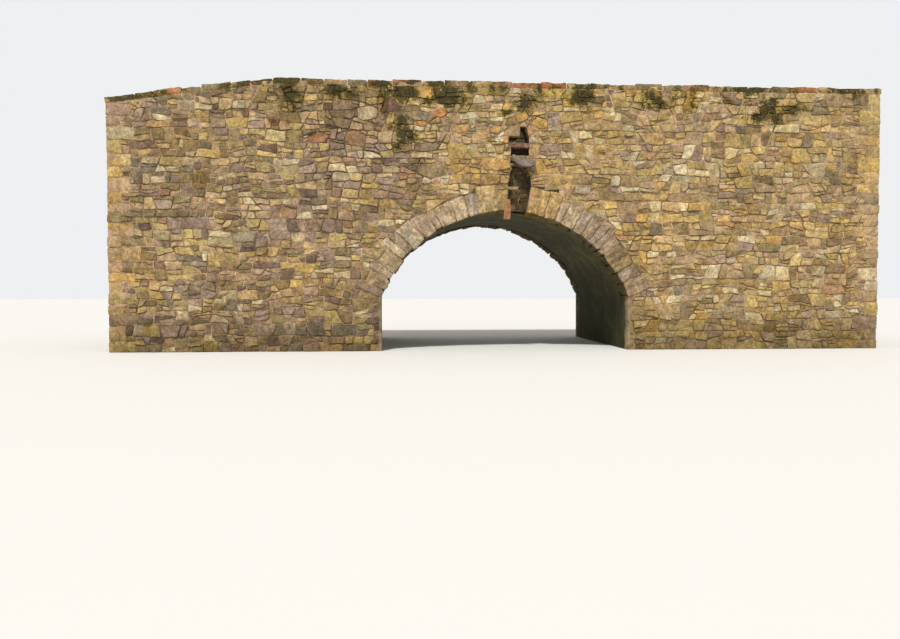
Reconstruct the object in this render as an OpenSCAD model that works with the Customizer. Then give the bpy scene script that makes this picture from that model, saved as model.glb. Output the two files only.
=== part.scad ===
/* [Bridge] */
// Length of the bridge along the road
bridge_length = 13000; // [11000:100:16000]
// Width over the outer faces of the two side walls
bridge_width = 4000; // [3400:50:5000]
// Thickness of the spandrel and wing walls
wall_thickness = 450; // [400:10:600]
// Thickness of the masonry that closes each end
end_wall_thickness = 450; // [300:10:700]
// Distance from the jamb to the back of the abutment
abutment_thickness = 1500; // [1000:50:2000]

/* [Arch] */
// Clear span between the jambs
span = 4200; // [3600:50:4800]
// Rise of the arch from the springing line to the crown
rise = 1440; // [1200:20:1700]
// Height of the springing line above the foot of the jambs
springing_height = 900; // [500:50:1300]
// Greatest depth of the face voussoirs along the radius
voussoir_depth = 490; // [430:10:600]
// Most that one voussoir falls short of that depth
voussoir_shortfall = 165; // [20:5:200]
// Least that a voussoir stands out of the wall face
voussoir_relief = 12; // [0:1:30]
// Further relief that some of them have
relief_spread = 16; // [0:1:30]
// Open joint between two voussoirs
joint = 14; // [6:1:24]
// Number of voussoirs in each haunch of a face ring
haunch_voussoirs = 12; // [8:1:16]
// Thickness of the barrel between the two face rings
vault_thickness = 370; // [300:10:390]
// Height of the barrel soffit above the soffit of the face rings
soffit_step = 20; // [5:1:35]

/* [Crown of the front ring] */
// Distance from the middle of the span to the far side of the keystone
key_reach = 450; // [400:5:500]
// Width of the keystone at its foot
key_width = 310; // [260:5:340]
// Width of the narrow stone beside the keystone
crown_stone_width = 160; // [130:5:220]
// Width of the gap that a lost voussoir has left
lost_stone_width = 330; // [260:5:360]
// Width of the broad stone on the other side of the gap
broad_stone_width = 290; // [220:5:340]

/* [Road] */
// Masonry between the top of the ring and the road surface at the crown
crown_cover = 650; // [620:10:900]
// Thickness of the road surfacing at its edges
surfacing = 150; // [100:10:250]
// Height of the middle of the road over its edges
road_camber = 45; // [20:5:80]

/* [Parapets] */
// Height of the parapet over the road, coping included
parapet_height = 1020; // [900:20:1400]
// Thickness of a parapet
parapet_thickness = 420; // [350:10:450]
// Length of the stretch at the left end where the parapet falls
ramp_length = 2640; // [1500:20:2800]
// Height that the parapet loses on that stretch
ramp_drop = 350; // [150:10:450]
// Thickness of the coping stones
coping_thickness = 110; // [80:5:180]
// Overhang of the coping past the wall faces
coping_overhang = 8; // [0:1:50]
// Overhang of the coping past the two ends
coping_end_overhang = 36; // [0:1:60]
// Most that a coping stone lies below the highest ones
coping_roughness = 24; // [0:1:40]
// Mean length of a coping stone
coping_stone = 400; // [300:10:700]

/* [Drains] */
// Distance from the middle of the span to the near side of the drain throat
drain_offset = 35; // [0:5:300]
// Width of the throat
throat_width = 345; // [320:5:420]
// Height of the low part of the throat
throat_height = 110; // [90:5:130]
// Height of the peak of the throat
throat_peak = 265; // [240:5:300]
// Length of the lintel that bears on the wall beside the throat
lintel_bearing = 80; // [50:5:120]
// How far the lintel stands out of the wall face
lintel_reach = 20; // [0:1:40]
// Width over which the peak of the throat narrows on its far side
hood_slant = 45; // [30:5:70]
// Thickness of the stone that leans over that side
hood_thickness = 65; // [45:5:90]
// Length of the middle stretch of wall on each side of the drain
drain_margin = 520; // [400:10:800]
// Thickness of the sill stone at road level
sill_thickness = 85; // [70:5:110]
// How far the sill stands out of the wall face
sill_reach = 15; // [0:1:40]
// Height of the recess between the sill and the spout
recess_height = 125; // [100:5:160]
// Depth of the recess into the wall
recess_depth = 180; // [100:5:250]
// Width of the spout stone
spout_width = 400; // [370:5:480]
// Thickness of the spout stone
spout_thickness = 140; // [110:5:170]
// How much lower the far side of the spout stone lies
spout_tilt = 100; // [40:5:130]
// How far the spout stone stands out of the wall face
spout_reach = 150; // [100:5:300]
// How far the spout stone is built into the wall
spout_tail = 300; // [200:5:350]
// How far the spout is set over to the side of the throat
spout_shift = 40; // [0:5:120]
// Depth of the washed-out channel below the front spout
channel_depth = 200; // [120:5:280]

/* [Crown iron] */
// Width of the iron strip
strip_width = 110; // [90:2:130]
// Thickness of the iron strip
strip_thickness = 12; // [8:1:20]
// Length of the iron strip
strip_length = 340; // [300:10:500]
// Length of it that hangs below the crown
strip_drop = 140; // [100:10:200]
// Width of it that reaches past the crown stone
strip_overlap = 45; // [0:5:60]

/* [Hidden] */
$fn = 96;

// Colours of the finishes
masonry = [0.62, 0.52, 0.38];
dressed = [0.70, 0.58, 0.42];
ochre = [0.76, 0.58, 0.32];
slate = [0.52, 0.50, 0.49];
render_coat = [0.32, 0.30, 0.26];
gravel = [0.55, 0.51, 0.45];
rust = [0.66, 0.42, 0.30];

// Circle of the arch: half the span and the rise fix its radius and centre
half_span = span / 2;
radius = (half_span * half_span + rise * rise) / (2 * rise);
half_angle = 90 - atan2(radius - rise, half_span);
crown_z = springing_height + rise;
centre_z = crown_z - radius;

// Levels, from the ground up
road_z = crown_z + voussoir_depth + crown_cover;
bed_z = road_z - surfacing;
top_z = road_z + parapet_height;

// Plan lines
half_length = bridge_length / 2;
half_width = bridge_width / 2;
inner_face = half_width - wall_thickness;
abutment_back = half_span + abutment_thickness;
ramp_x = ramp_length - half_length;

// A point of the arch at an angle from the vertical and a distance from its centre
function at(angle, r) = [r * sin(angle), centre_z + r * cos(angle)];
function angle_of(x) = asin(x / radius);
// The point a set distance from p on the way to q
function toward(p, q, distance) = p + (q - p) / norm(q - p) * distance;
// The sum of the first n members of a list
function first(list, n) = n <= 0 ? 0 : list[n - 1] + first(list, n - 1);
// Uneven divisions of the stretch from a to b into n parts
function divisions(a, b, n, seed, spread = 0.35) =
    let (parts = rands(1 - spread, 1 + spread, n, seed))
    [for (i = [0:n]) a + (b - a) * first(parts, i) / first(parts, n)];
// Depths of n voussoirs: each falls short of the greatest by its own amount, the keystone by little
function depths(n, key, seed) =
    let (lack = rands(0.1, 1, n, seed))
    [for (i = [0:n - 1]) voussoir_depth - voussoir_shortfall * (i == key ? 0.15 : lack[i])];

skewback = at(half_angle, radius + voussoir_depth);

// Share by which the widths of the haunch voussoirs differ from their mean
joint_spread = 0.45;

// Joint angles and depths of the front ring, from left to right
front_key_from = angle_of(-key_reach);
front_key_to = angle_of(key_width - key_reach);
lost_from_x = key_width + crown_stone_width - key_reach;
lost_to_x = lost_from_x + lost_stone_width;
lost_from = angle_of(lost_from_x);
lost_to = angle_of(lost_to_x);
front_joints = concat(
    divisions(-half_angle, front_key_from, haunch_voussoirs, 11, joint_spread),
    [front_key_to, lost_from, lost_to],
    divisions(angle_of(lost_to_x + broad_stone_width), half_angle, haunch_voussoirs, 23, joint_spread)
);
front_key = haunch_voussoirs;
front_depths = depths(len(front_joints) - 1, front_key, 5);
lost_stone = front_key + 2;

// Joint angles and depths of the back ring, from left to right
back_key_half = angle_of(key_width / 2);
back_joints = concat(
    divisions(-half_angle, -back_key_half, haunch_voussoirs, 37, joint_spread),
    divisions(back_key_half, half_angle, haunch_voussoirs, 41, joint_spread)
);
back_key = haunch_voussoirs;
back_depths = depths(len(back_joints) - 1, back_key, 59);

// Outline of the ring's back, with a step where the depth changes
function extrados(joints, deep) = [
    for (i = [0:len(deep) - 1]) each [
        at(joints[i], radius + deep[i]),
        at(joints[i + 1], radius + deep[i])
    ]
];

// Puts a profile drawn in X and Z at a depth behind the front face, with a thickness
module behind_face(depth, thickness) {
    translate([0, depth - half_width, 0])
        rotate([90, 0, 0])
            mirror([0, 0, 1])
                linear_extrude(height = thickness)
                    children();
}

// The same thing seen from the other side of the bridge
module back_side() {
    mirror([0, 1, 0]) children();
}

// The block that carries one end of the arch, with its sloping skewback
module abutment() {
    color(masonry)
        behind_face(0, bridge_width)
            polygon([
                [half_span, 0],
                [half_span, springing_height],
                skewback,
                [abutment_back, skewback[1]],
                [abutment_back, 0]
            ]);
}

// The rendered barrel between the two face rings
module barrel_vault() {
    inner = radius + soffit_step;
    outer = inner + vault_thickness;
    reach = 2 * outer;
    color(render_coat)
        intersection() {
            translate([0, 0, centre_z])
                rotate([90, 0, 0])
                    difference() {
                        cylinder(r = outer, h = 2 * inner_face, center = true, $fn = 360);
                        cylinder(r = inner, h = 2 * inner_face + 2, center = true, $fn = 360);
                    }
            behind_face(wall_thickness, 2 * inner_face)
                polygon([
                    [0, centre_z],
                    at(-half_angle, reach),
                    at(-half_angle / 2, 2 * reach),
                    at(half_angle / 2, 2 * reach),
                    at(half_angle, reach)
                ]);
        }
}

// One wedge stone between two joint angles, with half a joint taken off each open side
module voussoir(from, to, deep, relief, gap_from, gap_to) {
    inner_from = at(from, radius);
    inner_to = at(to, radius);
    outer_from = at(from, radius + deep);
    outer_to = at(to, radius + deep);
    behind_face(-relief, wall_thickness + relief)
        polygon([
            toward(inner_from, inner_to, gap_from),
            toward(outer_from, outer_to, gap_from),
            toward(outer_to, outer_from, gap_to),
            toward(inner_to, inner_from, gap_to)
        ]);
}

// The wedge stones of a ring from one number to another
module voussoirs(joints, deep, first_stone, last_stone, seed) {
    spread = rands(0, relief_spread, len(deep), seed);
    for (i = [first_stone:last_stone])
        voussoir(
            joints[i], joints[i + 1], deep[i], voussoir_relief + spread[i],
            i == 0 ? 0 : joint / 2,
            i == len(deep) - 1 ? 0 : joint / 2
        );
}

// The stone between the keystone and the gap, which carries the iron strip
module crown_stone() {
    i = front_key + 1;
    voussoir(front_joints[i], front_joints[i + 1], front_depths[i], voussoir_relief, joint / 2, 0);
}

// Profile of the wall over one ring
module spandrel_profile(joints, deep) {
    polygon(concat(
        [[-abutment_back, bed_z], [-abutment_back, skewback[1]], [-skewback[0], skewback[1]]],
        extrados(joints, deep),
        [skewback, [abutment_back, skewback[1]], [abutment_back, bed_z]]
    ));
}

// Levels and sides of a drain, from the road down
throat_from = drain_offset;
throat_to = drain_offset + throat_width;
peak_from = drain_offset + throat_width * 0.55;
sill_z = road_z - sill_thickness;
recess_z = sill_z - recess_height;
spout_from = throat_from + spout_shift;

// The walls are built in stretches: a middle one round the drain, and one on each side of it
middle_half = throat_to + drain_margin;
middle = [-middle_half, middle_half];
left_side = [-half_length, -middle_half];
right_side = [middle_half, half_length];

// Where two stretches over a ring meet: a step in the ring's back that leans over
// that place would cut a sliver off the wall, so they then meet just past the step
step_margin = 20;
function past_steps(x, joints, deep) =
    let (
        side = sign(x),
        step_ends = [
            for (i = [1:len(deep) - 1])
                let (
                    near = deep[side > 0 ? i - 1 : i],
                    far = deep[side > 0 ? i : i - 1],
                    foot = side * at(joints[i], radius + far)[0],
                    head = side * at(joints[i], radius + near)[0]
                )
                if (near > far && abs(x) > foot - step_margin && abs(x) < head + step_margin)
                    head + step_margin
        ]
    )
    side * max(concat([abs(x)], step_ends));
function stretches(joints, deep) =
    let (meetings = [for (x = middle) past_steps(x, joints, deep)])
    [[-half_length, meetings[0]], meetings, [meetings[1], half_length]];
front_stretches = stretches(front_joints, front_depths);
back_stretches = stretches(back_joints, back_depths);

// What lies between two places along the bridge
module stretch(ends) {
    intersection() {
        children();
        translate([ends[0], -bridge_width, 0])
            cube([ends[1] - ends[0], 2 * bridge_width, top_z]);
    }
}

// Opening of the throat, low on the near side and peaked on the far side
module throat_profile() {
    polygon([
        [throat_from, road_z],
        [throat_to, road_z],
        [throat_to, road_z + throat_height],
        [throat_to - hood_slant, road_z + throat_peak],
        [peak_from, road_z + throat_peak],
        [peak_from, road_z + throat_height],
        [throat_from, road_z + throat_height]
    ]);
}

// Stone that covers the low part of the throat
module lintel_profile() {
    polygon([
        [throat_from - lintel_bearing, road_z + throat_height],
        [peak_from, road_z + throat_height],
        [peak_from, road_z + throat_peak],
        [throat_from, road_z + throat_peak],
        [throat_from - lintel_bearing, road_z + throat_height + throat_peak / 3]
    ]);
}

// Stone that leans over the peak
module hood_profile() {
    polygon([
        [throat_to, road_z + throat_height],
        [throat_to + hood_thickness, road_z + throat_height + hood_thickness / 2],
        [throat_to + hood_thickness - hood_slant, road_z + throat_peak + hood_thickness],
        [throat_to - hood_slant, road_z + throat_peak]
    ]);
}

module sill_profile() {
    translate([throat_from, sill_z]) square([throat_width, sill_thickness]);
}

// Point of the spout stone, as a share of its width and a share of its thickness from the top
function on_spout(across, down) =
    [spout_from + spout_width * across, recess_z - spout_tilt * across - spout_thickness * down];

module recess_profile() {
    polygon([
        [spout_from, sill_z],
        on_spout(0, 0),
        on_spout((throat_to - spout_from) / spout_width, 0),
        [throat_to, sill_z]
    ]);
}

// A slab that has sunk towards its far side, with a worn, bellied underside
module spout_profile() {
    polygon([
        on_spout(0, 0), on_spout(0, 0.4), on_spout(0.15, 0.7), on_spout(0.4, 1),
        on_spout(0.8, 0.9), on_spout(1, 0.45), on_spout(1, 0)
    ]);
}

// Hole washed out of the face between the spout and the lost voussoir
module channel_profile() {
    polygon([
        at(lost_from, radius),
        at(lost_to, radius),
        [at(lost_to, radius + voussoir_depth)[0], crown_z + voussoir_depth],
        on_spout(0.85, 0.4),
        on_spout(0, 0.2),
        [lost_from_x, crown_z + voussoir_depth]
    ]);
}

// Everything that a drain takes out of the wall and the parapet
module drain_cuts() {
    behind_face(-1, parapet_thickness + 2) {
        throat_profile();
        sill_profile();
    }
    behind_face(-1, wall_thickness / 2 + 1) {
        lintel_profile();
        hood_profile();
    }
    behind_face(-1, recess_depth + 1) recess_profile();
    behind_face(-1, spout_tail + 1) spout_profile();
}

module drain_lintel() {
    color(ochre) behind_face(-lintel_reach, wall_thickness / 2 + lintel_reach) lintel_profile();
}

module drain_hood() {
    color(ochre) behind_face(0, wall_thickness / 2) hood_profile();
}

module drain_sill() {
    color(slate) behind_face(-sill_reach, parapet_thickness + sill_reach) sill_profile();
}

module drain_spout() {
    color(slate) behind_face(-spout_reach, spout_tail + spout_reach) spout_profile();
}

module front_spandrel(ends) {
    color(masonry)
        stretch(ends)
            difference() {
                behind_face(0, wall_thickness) spandrel_profile(front_joints, front_depths);
                drain_cuts();
                behind_face(-1, channel_depth + 1) channel_profile();
            }
}

module back_spandrel(ends) {
    color(masonry)
        stretch(ends)
            difference() {
                behind_face(0, wall_thickness) spandrel_profile(back_joints, back_depths);
                drain_cuts();
            }
}

// Wall beyond the abutment, from the ground to the road bed
module wing() {
    color(masonry)
        translate([abutment_back, -half_width, 0])
            cube([half_length - abutment_back, wall_thickness, bed_z]);
}

module end_wall() {
    color(masonry)
        translate([half_length - end_wall_thickness, -inner_face, 0])
            cube([end_wall_thickness, 2 * inner_face, bed_z]);
}

// Packed stones and earth that carry the road over the vault
module rubble_fill() {
    half_fill = half_length - end_wall_thickness;
    color(gravel)
        difference() {
            translate([-half_fill, -inner_face, 0]) cube([2 * half_fill, 2 * inner_face, bed_z]);
            abutment();
            mirror([1, 0, 0]) abutment();
            translate([0, 0, centre_z])
                rotate([90, 0, 0])
                    cylinder(
                        r = radius + soffit_step + vault_thickness, h = bridge_width,
                        center = true, $fn = 360
                    );
        }
}

// Surfacing with a rounded top, highest along the middle of the road
module roadway() {
    half_road = half_width - parapet_thickness;
    crown_radius = (half_road * half_road + road_camber * road_camber) / (2 * road_camber);
    crown_angle = asin(half_road / crown_radius);
    color(gravel)
        translate([-half_length, 0, 0])
            rotate([90, 0, 90])
                linear_extrude(height = bridge_length)
                    polygon(concat(
                        [[half_road, bed_z], [-half_road, bed_z]],
                        [for (i = [-8:8]) [
                            crown_radius * sin(crown_angle * i / 8),
                            road_z + road_camber - crown_radius * (1 - cos(crown_angle * i / 8))
                        ]]
                    ));
}

module parapet(ends) {
    seat_z = top_z - coping_thickness;
    color(masonry)
        stretch(ends)
            difference() {
                behind_face(0, parapet_thickness)
                    polygon([
                        [-half_length, bed_z],
                        [half_length, bed_z],
                        [half_length, seat_z],
                        [ramp_x, seat_z],
                        [-half_length, seat_z - ramp_drop]
                    ]);
                drain_cuts();
            }
}

// A run of coping stones on a straight seat from one point to another
module coping_run(from, to, seed) {
    count = round(norm(to - from) / coping_stone);
    places = divisions(0, 1, count, seed);
    dips = rands(0, coping_roughness, count, seed + 1);
    way = to - from;
    for (i = [0:count - 1]) {
        near = toward(from + way * places[i], to, i == 0 ? 0 : joint / 2);
        far = toward(from + way * places[i + 1], from, i == count - 1 ? 0 : joint / 2);
        height = coping_thickness - dips[i];
        behind_face(-coping_overhang, parapet_thickness + 2 * coping_overhang)
            polygon([near, far, far + [0, height], near + [0, height]]);
    }
}

module coping(seed) {
    seat_z = top_z - coping_thickness;
    slope = ramp_drop / ramp_length;
    low_end = [-half_length - coping_end_overhang, seat_z - ramp_drop - slope * coping_end_overhang];
    color(dressed) {
        coping_run(low_end, [ramp_x - joint / 2, seat_z - slope * joint / 2], seed);
        coping_run([ramp_x + joint / 2, seat_z], [half_length + coping_end_overhang, seat_z], seed + 7);
    }
}

// Rusted flat bar on the face of the crown stone
module crown_iron_strip() {
    strip_from = lost_from_x + strip_overlap - strip_width;
    strip_face = -half_width - voussoir_relief;
    color(rust)
        translate([strip_from, strip_face - strip_thickness, crown_z - strip_drop])
            cube([strip_width, strip_thickness, strip_length]);
}

last_front = len(front_depths) - 1;
last_back = len(back_depths) - 1;

mirror([1, 0, 0]) abutment();  // left_abutment
abutment();  // right_abutment
barrel_vault();
color(dressed) voussoirs(front_joints, front_depths, 0, front_key - 1, 61);  // front_voussoirs_left
color(ochre) voussoirs(front_joints, front_depths, front_key, front_key, 61);  // front_keystone
color(dressed) crown_stone();  // front_crown_stone
color(dressed) voussoirs(front_joints, front_depths, lost_stone + 1, last_front, 61);  // front_voussoirs_right
back_side() color(dressed) voussoirs(back_joints, back_depths, 0, back_key - 1, 67);  // back_voussoirs_left
back_side() color(ochre) voussoirs(back_joints, back_depths, back_key, back_key, 67);  // back_keystone
back_side() color(dressed) voussoirs(back_joints, back_depths, back_key + 1, last_back, 67);  // back_voussoirs_right
front_spandrel(front_stretches[0]);  // front_spandrel_left
front_spandrel(front_stretches[1]);  // front_spandrel_crown
front_spandrel(front_stretches[2]);  // front_spandrel_right
back_side() back_spandrel(back_stretches[0]);  // back_spandrel_left
back_side() back_spandrel(back_stretches[1]);  // back_spandrel_crown
back_side() back_spandrel(back_stretches[2]);  // back_spandrel_right
mirror([1, 0, 0]) wing();  // front_left_wing
wing();  // front_right_wing
mirror([1, 0, 0]) back_side() wing();  // back_left_wing
back_side() wing();  // back_right_wing
mirror([1, 0, 0]) end_wall();  // left_end_wall
end_wall();  // right_end_wall
rubble_fill();
roadway();
parapet(left_side);  // front_parapet_left
parapet(middle);  // front_parapet_middle
parapet(right_side);  // front_parapet_right
back_side() parapet(left_side);  // back_parapet_left
back_side() parapet(middle);  // back_parapet_middle
back_side() parapet(right_side);  // back_parapet_right
coping(71);  // front_coping
back_side() coping(83);  // back_coping
drain_lintel();  // front_drain_lintel
drain_hood();  // front_drain_hood
drain_sill();  // front_drain_sill
drain_spout();  // front_drain_spout
back_side() drain_lintel();  // back_drain_lintel
back_side() drain_hood();  // back_drain_hood
back_side() drain_sill();  // back_drain_sill
back_side() drain_spout();  // back_drain_spout
crown_iron_strip();
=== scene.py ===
import math
import random

import bmesh
import bpy
from mathutils import Matrix, Vector, noise


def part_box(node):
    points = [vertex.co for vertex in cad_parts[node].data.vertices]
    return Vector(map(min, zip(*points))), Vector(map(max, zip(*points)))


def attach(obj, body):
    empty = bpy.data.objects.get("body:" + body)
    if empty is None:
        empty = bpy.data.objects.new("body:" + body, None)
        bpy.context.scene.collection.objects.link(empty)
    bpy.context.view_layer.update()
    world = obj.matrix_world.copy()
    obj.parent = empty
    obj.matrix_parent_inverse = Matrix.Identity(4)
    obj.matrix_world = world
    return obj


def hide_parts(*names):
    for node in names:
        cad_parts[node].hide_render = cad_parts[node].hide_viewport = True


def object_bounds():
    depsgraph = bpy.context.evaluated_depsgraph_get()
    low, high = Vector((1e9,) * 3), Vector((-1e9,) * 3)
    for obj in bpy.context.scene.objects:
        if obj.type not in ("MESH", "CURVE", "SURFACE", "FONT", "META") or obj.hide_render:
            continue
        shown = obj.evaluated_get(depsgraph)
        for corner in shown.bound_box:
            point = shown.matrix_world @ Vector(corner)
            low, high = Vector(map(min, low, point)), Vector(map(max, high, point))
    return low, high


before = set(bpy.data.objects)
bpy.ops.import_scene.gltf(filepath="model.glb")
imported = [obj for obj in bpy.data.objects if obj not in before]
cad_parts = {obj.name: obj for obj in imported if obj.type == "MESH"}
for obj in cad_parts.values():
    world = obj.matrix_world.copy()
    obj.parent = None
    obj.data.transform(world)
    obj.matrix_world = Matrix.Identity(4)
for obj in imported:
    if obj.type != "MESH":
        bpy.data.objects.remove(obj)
cad_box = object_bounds()
noise.seed_set(7)

# Measures of the bridge in metres: X runs along the road, Z up, and the front faces -Y
HALF_LENGTH = 6.5
FACE = 2.0
PARAPET_INNER = 1.58
HALF_SPAN = 2.1
SPRING_Z = 0.9
RISE = 1.44
ARCH_RADIUS = (HALF_SPAN ** 2 + RISE ** 2) / (2 * RISE)
ARCH_Z = SPRING_Z + RISE - ARCH_RADIUS
HALF_ANGLE = math.acos((SPRING_Z - ARCH_Z) / ARCH_RADIUS)
VAULT_RADIUS = ARCH_RADIUS + 0.020
VAULT_REACH = 1.55
ROAD_Z = 3.48
CAMBER = 0.045
BED_Z = 3.33
SEAT_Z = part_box("front_parapet_middle")[1][2]
RAMP_X = -3.86
RAMP_Z = SEAT_Z - 0.35
LOST_FROM_X = 0.020
LOST_TO_X = 0.350

# The drain: its sides along the wall, and the heights of its parts
DRAIN_LEFT = 0.035
DRAIN_RIGHT = 0.380
LINTEL_RIGHT = 0.225
PEAK_RIGHT = 0.335
RECESS_LEFT = 0.075
RECESS_FOOT = 3.270
SILL_FOOT = 3.395
LINTEL_FOOT = 3.590
LINTEL_TOP = 3.745

# Outlines of its openings and stones on the wall face, as distance along the wall and height
THROAT_LOW = [
    (DRAIN_LEFT, ROAD_Z), (DRAIN_RIGHT, ROAD_Z), (DRAIN_RIGHT, LINTEL_FOOT), (DRAIN_LEFT, LINTEL_FOOT)]
THROAT_PEAK = [
    (LINTEL_RIGHT, LINTEL_FOOT), (DRAIN_RIGHT, LINTEL_FOOT), (PEAK_RIGHT, LINTEL_TOP),
    (LINTEL_RIGHT, LINTEL_TOP)]
LINTEL = [
    (-0.045, LINTEL_FOOT), (LINTEL_RIGHT, LINTEL_FOOT), (LINTEL_RIGHT, LINTEL_TOP), (DRAIN_LEFT, LINTEL_TOP),
    (-0.045, 3.678)]
HOOD = [(DRAIN_RIGHT, LINTEL_FOOT), (0.445, 3.622), (0.400, 3.810), (PEAK_RIGHT, LINTEL_TOP)]
SILL = [(DRAIN_LEFT, SILL_FOOT), (DRAIN_RIGHT, SILL_FOOT), (DRAIN_RIGHT, ROAD_Z), (DRAIN_LEFT, ROAD_Z)]
RECESS = [
    (RECESS_LEFT, RECESS_FOOT), (DRAIN_RIGHT, RECESS_FOOT), (DRAIN_RIGHT, SILL_FOOT),
    (RECESS_LEFT, SILL_FOOT)]
SPOUT = [
    (RECESS_LEFT, 3.205), (0.235, 3.085), (0.395, 3.060), (0.475, 3.105), (0.475, 3.170),
    (RECESS_LEFT, RECESS_FOOT)]
DRAIN_FITTINGS = [THROAT_LOW, THROAT_PEAK, LINTEL, HOOD, SILL, RECESS, SPOUT]

# The channel that is washed out of the front below the spout, and how deep its rough core lies
WASHOUT = [(0.024, 2.75), (0.420, 2.75), (0.415, 3.134), (RECESS_LEFT, 3.249)]
WASHOUT_DEPTH = 0.175

# Masonry: sizes in metres, and in square metres for the faces of stones
STONE_SIZE = 0.026
CORE_STONE_SIZE = 0.018
SMALLEST_STONE = 0.0016
MOST_RELIEF = 0.040
FACING_THICKNESS = 0.03
ON_PLANE = 0.0001

# Widths of the mortar joints, and how often each is used
JOINT_WIDTHS = [0.0030, 0.0048, 0.0075, 0.0120]
JOINT_SHARES = [24, 36, 28, 12]

# Steps in which a stone rises: narrowing, share of its relief, unevenness, share of the joint's shade left
RISING_STEPS = [(0.976, 0.74, 0.006, 0.2), (0.90, 0.98, 0.008, 0.0), (0.52, 1.0, 0.013, 0.0)]

# Place of the stones' finish in a wall piece, after its mortar, and the mark of a face that stays mortar
STONE = 1
BARE = 1

MID_GREY = (0.5, 0.5, 0.5, 1)


def clamp(value):
    return max(0.0, min(1.0, value))


def paint(red, green, blue):
    """Turns a colour as a screen shows it, 0 to 255, into the linear one that a shader takes"""
    def linear(level):
        level /= 255
        if level <= 0.04045:
            return level / 12.92
        return ((level + 0.055) / 1.055) ** 2.4
    return (linear(red), linear(green), linear(blue), 1.0)


# Colours of the stones, and mixes of them with how often each colour is used
OCHRE = paint(185, 160, 105)
TAN = paint(181, 154, 117)
BUFF = paint(202, 186, 150)
BROWN = paint(145, 124, 87)
MAUVE = paint(158, 135, 117)
SLATE = paint(130, 117, 96)
RUST = paint(166, 130, 98)
GOLD = paint(192, 157, 95)
OLIVE = paint(162, 144, 102)
PLUM = paint(120, 98, 86)
BRICK = paint(166, 108, 74)
PLAIN_MIX = [
    (OCHRE, 30), (TAN, 26), (BUFF, 12), (BROWN, 12), (MAUVE, 5), (SLATE, 4), (RUST, 2), (GOLD, 8), (OLIVE, 4)]
GREYER_MIX = [
    (OCHRE, 12), (TAN, 20), (BUFF, 9), (BROWN, 19), (MAUVE, 21), (SLATE, 11), (PLUM, 8), (RUST, 4),
    (OLIVE, 5)]
DAMP_MIX = [(BROWN, 5), (SLATE, 4), (MAUVE, 4), (TAN, 3), (OLIVE, 2)]
ARCH_MIX = [(OCHRE, 3), (TAN, 6), (BUFF, 2), (MAUVE, 7), (BROWN, 3), (SLATE, 2)]
COPING_MIX = [(OCHRE, 3), (TAN, 3), (BROWN, 7), (RUST, 3), (BRICK, 3), (OLIVE, 3), (SLATE, 3)]


def mixed(one, other, share):
    return tuple(a + (b - a) * share for a, b in zip(one, other))


def pick_tone(rng, mix):
    """Takes a colour from a mix, a little towards another one and a little lighter or darker"""
    tones = [tone for tone, _ in mix]
    tone = rng.choices(tones, [weight for _, weight in mix])[0]
    tone = mixed(tone, rng.choice(tones), rng.uniform(0, 0.4))
    light = rng.uniform(0.78, 1.12)
    return tuple(level * light for level in tone[:3]) + (1.0,)


# Masonry


def cut(bm, face, at, slope):
    """Cuts a face of the wall along a line through a point, and returns what it became"""
    across = Vector((-math.sin(slope), 0, math.cos(slope)))
    made = bmesh.ops.bisect_plane(
        bm, geom=[face, *face.edges, *face.verts], dist=0.0005,
        plane_co=(at[0], 0, at[1]), plane_no=across)
    return [part for part in made["geom"] if isinstance(part, bmesh.types.BMFace)]


def limits(corners):
    """Lowest and highest place along the wall, and lowest and highest height"""
    along = [corner[0] for corner in corners]
    upward = [corner[-1] for corner in corners]
    return min(along), max(along), min(upward), max(upward)


def lay_rubble(bm, rng, size=STONE_SIZE):
    """Divides a wall into flat-bedded stones of uneven size"""
    uncut = bm.faces[:]
    while uncut:
        face = uncut.pop()
        left, right, low, high = limits([vert.co for vert in face.verts])
        wide = right - left
        tall = high - low
        small = face.calc_area() < size * rng.lognormvariate(0.25, 0.65)
        if small and tall < 0.26 and wide < 0.5:
            continue
        if tall > 0.5 or wide < tall * rng.uniform(1.3, 2.6):
            at = (left + wide / 2, low + tall * rng.uniform(0.33, 0.67))
            slope = rng.uniform(-0.24, 0.24) / max(1, 3 * wide)
        else:
            at = (left + wide * rng.uniform(0.30, 0.70), low + tall / 2)
            slope = math.pi / 2 + rng.gauss(0, 0.30)
        parts = cut(bm, face, at, slope)
        if len(parts) > 1:
            uncut += parts


def side_of(line_start, line_end, point):
    """Positive where a point lies to the left of a line"""
    way = (line_end[0] - line_start[0], line_end[1] - line_start[1])
    off = (point[0] - line_start[0], point[-1] - line_start[1])
    return (way[0] * off[1] - way[1] * off[0]) / math.hypot(*way)


def cut_out(bm, outline):
    """Cuts a convex outline into the stones, and returns the faces inside it"""
    left, right, low, high = limits(outline)
    inside = []
    for face in list(bm.faces):
        begins, ends, foot, top = limits([vert.co for vert in face.verts])
        if begins > right or ends < left or foot > high or top < low:
            continue
        for start, end in zip(outline, outline[1:] + outline[:1]):
            sides = [side_of(start, end, vert.co) for vert in face.verts]
            if max(sides) < 0.001:
                break
            if min(sides) > -0.001:
                continue
            parts = cut(bm, face, start, math.atan2(end[1] - start[1], end[0] - start[0]))
            face = max(parts, key=lambda part: side_of(start, end, part.calc_center_median()))
        else:
            inside.append(face)
    return inside


def open_up(bm, outlines):
    """Takes the stones out of openings"""
    for outline in outlines:
        bmesh.ops.delete(bm, geom=cut_out(bm, outline), context="FACES")


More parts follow.
